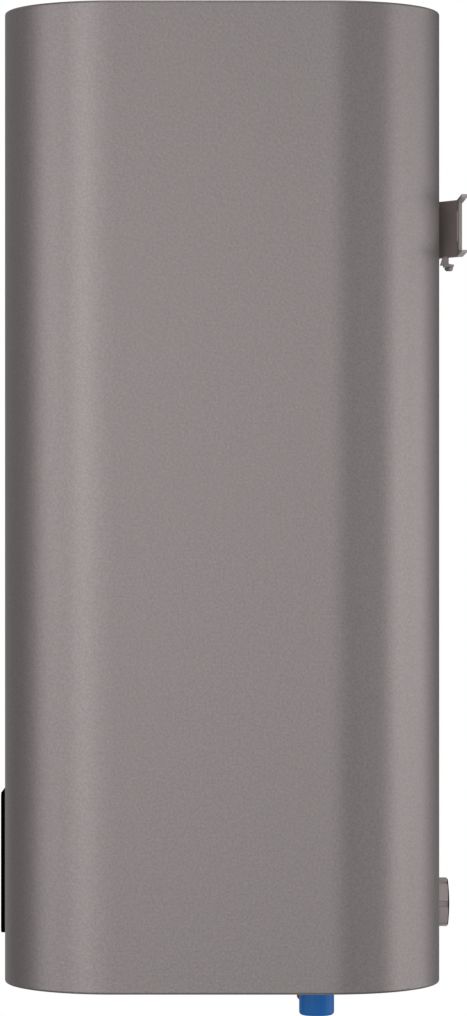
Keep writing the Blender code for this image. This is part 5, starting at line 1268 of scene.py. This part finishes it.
def add_floor(settings):
    """A wide pale floor whose far part fades to plain white, and which keeps shadows near the heater."""
    corners = FLOOR_REACH * np.array([[(-1, -1, 0), (1, -1, 0)], [(-1, 1, 0), (1, 1, 0)]], float)
    mesh = grid_mesh("floor", [(corners, False, False, False)], None, (0.0, 0.0, settings.floor_z))
    recipe = Recipe("floor", tuple(settings.floor), 0.9)
    flat = recipe.place((1.0, 1.0, 0.0))
    away = recipe.node("ShaderNodeVectorMath", {"operation": "LENGTH"}, {0: flat})["Value"]
    behind = 0.0 - recipe.part(recipe.place(), "X") / away
    share = recipe.seen_white(behind.smooth(*BACKDROP_EDGE)) * away.smooth(*FLOOR_FADE)
    recipe.whiten("ShaderNodeEmission", share, recipe.shader, "Material Output")
    mesh.materials.append(recipe.owner)
    add_object("floor", mesh)


def add_world(context, settings):
    """Grey room light that dims behind the heater, and a white backdrop for the camera and reflections."""
    world = bpy.data.worlds.new("room")
    context.scene.world = world
    recipe = Recipe("room", owner=world)
    background = recipe.tree.nodes["Background"]
    behind = 0.0 - recipe.part(recipe.node("ShaderNodeTexCoord")["Generated"], "X")
    room = behind.smooth(*DIM_EDGE, settings.ambient, settings.ambient * DIM_SHARE)
    recipe.fill(background, {"Color": WHITE, "Strength": room})
    share = recipe.seen_white(behind.smooth(*BACKDROP_EDGE))
    recipe.whiten("ShaderNodeBackground", share, background, "World Output")


def add_lamp(name, centre, across, up, distance, size, power):
    """A soft rectangular lamp aimed at the centre, turned across from +X towards the wall and tilted up."""
    offset = np.array((math.cos(up) * math.cos(across), math.cos(up) * math.sin(across), math.sin(up)))
    data = bpy.data.lights.new(name, "AREA")
    data.shape = "RECTANGLE"
    data.size, data.size_y = size
    data.energy = power
    lamp = add_object(name, data)
    lamp.location = centre + offset * distance
    lamp.rotation_euler = (math.pi / 2 - up, 0.0, across + math.pi / 2)
    lamp.visible_camera = False


class HEATER_OT_stage(bpy.types.Operator):
    """Set the floor, the lamps, the room's light and the camera"""
    bl_idname = "heater.stage"
    bl_label = "Stage"

    def execute(self, context):
        settings = context.scene.heater_stage
        context.scene.view_settings.view_transform = "Standard"
        add_camera(context, settings)
        add_floor(settings)
        add_world(context, settings)
        centre = np.array((0.0, settings.camera_y, settings.camera_z))
        for name, azimuth, elevation, distance, size, power in LAMPS:
            turns = (math.radians(azimuth), math.radians(elevation))
            add_lamp(name + "_lamp", centre, *turns, distance, size, power * settings.level)
        return {"FINISHED"}


class HEATER_PT_panel(bpy.types.Panel):
    """List of the heater's settings and steps"""
    bl_label = "Flat water heater"
    bl_idname = "HEATER_PT_panel"
    bl_space_type = "VIEW_3D"
    bl_region_type = "UI"
    bl_category = "Heater"

    def draw(self, context):
        for key in GROUPS:
            group = getattr(context.scene, key)
            for name in group.__annotations__:
                self.layout.prop(group, name)
        for operator in OPERATORS:
            self.layout.operator(operator.bl_idname)


OPERATORS = (HEATER_OT_stage, HEATER_OT_finishes, HEATER_OT_casing, HEATER_OT_covers, HEATER_OT_panel,
             HEATER_OT_buttons, HEATER_OT_bracket, HEATER_OT_spacer, HEATER_OT_pipes, HEATER_OT_inlet)
GROUPS = {"heater_casing": CasingSizes, "heater_trim": TrimSizes, "heater_finishes": Finishes,
          "heater_stage": StageSettings}


def register():
    """Register the settings, the operators and the panel."""
    for name, group in GROUPS.items():
        bpy.utils.register_class(group)
        setattr(bpy.types.Scene, name, bpy.props.PointerProperty(type=group))
    for item in (*OPERATORS, HEATER_PT_panel):
        bpy.utils.register_class(item)


def unregister():
    """Undo register."""
    for item in (HEATER_PT_panel, *reversed(OPERATORS)):
        bpy.utils.unregister_class(item)
    for name, group in GROUPS.items():
        delattr(bpy.types.Scene, name)
        bpy.utils.unregister_class(group)


def main():
    """Build everything."""
    register()
    for operator in OPERATORS:
        group, name = operator.bl_idname.split(".")
        getattr(getattr(bpy.ops, group), name)()


if __name__ == "__main__":
    main()
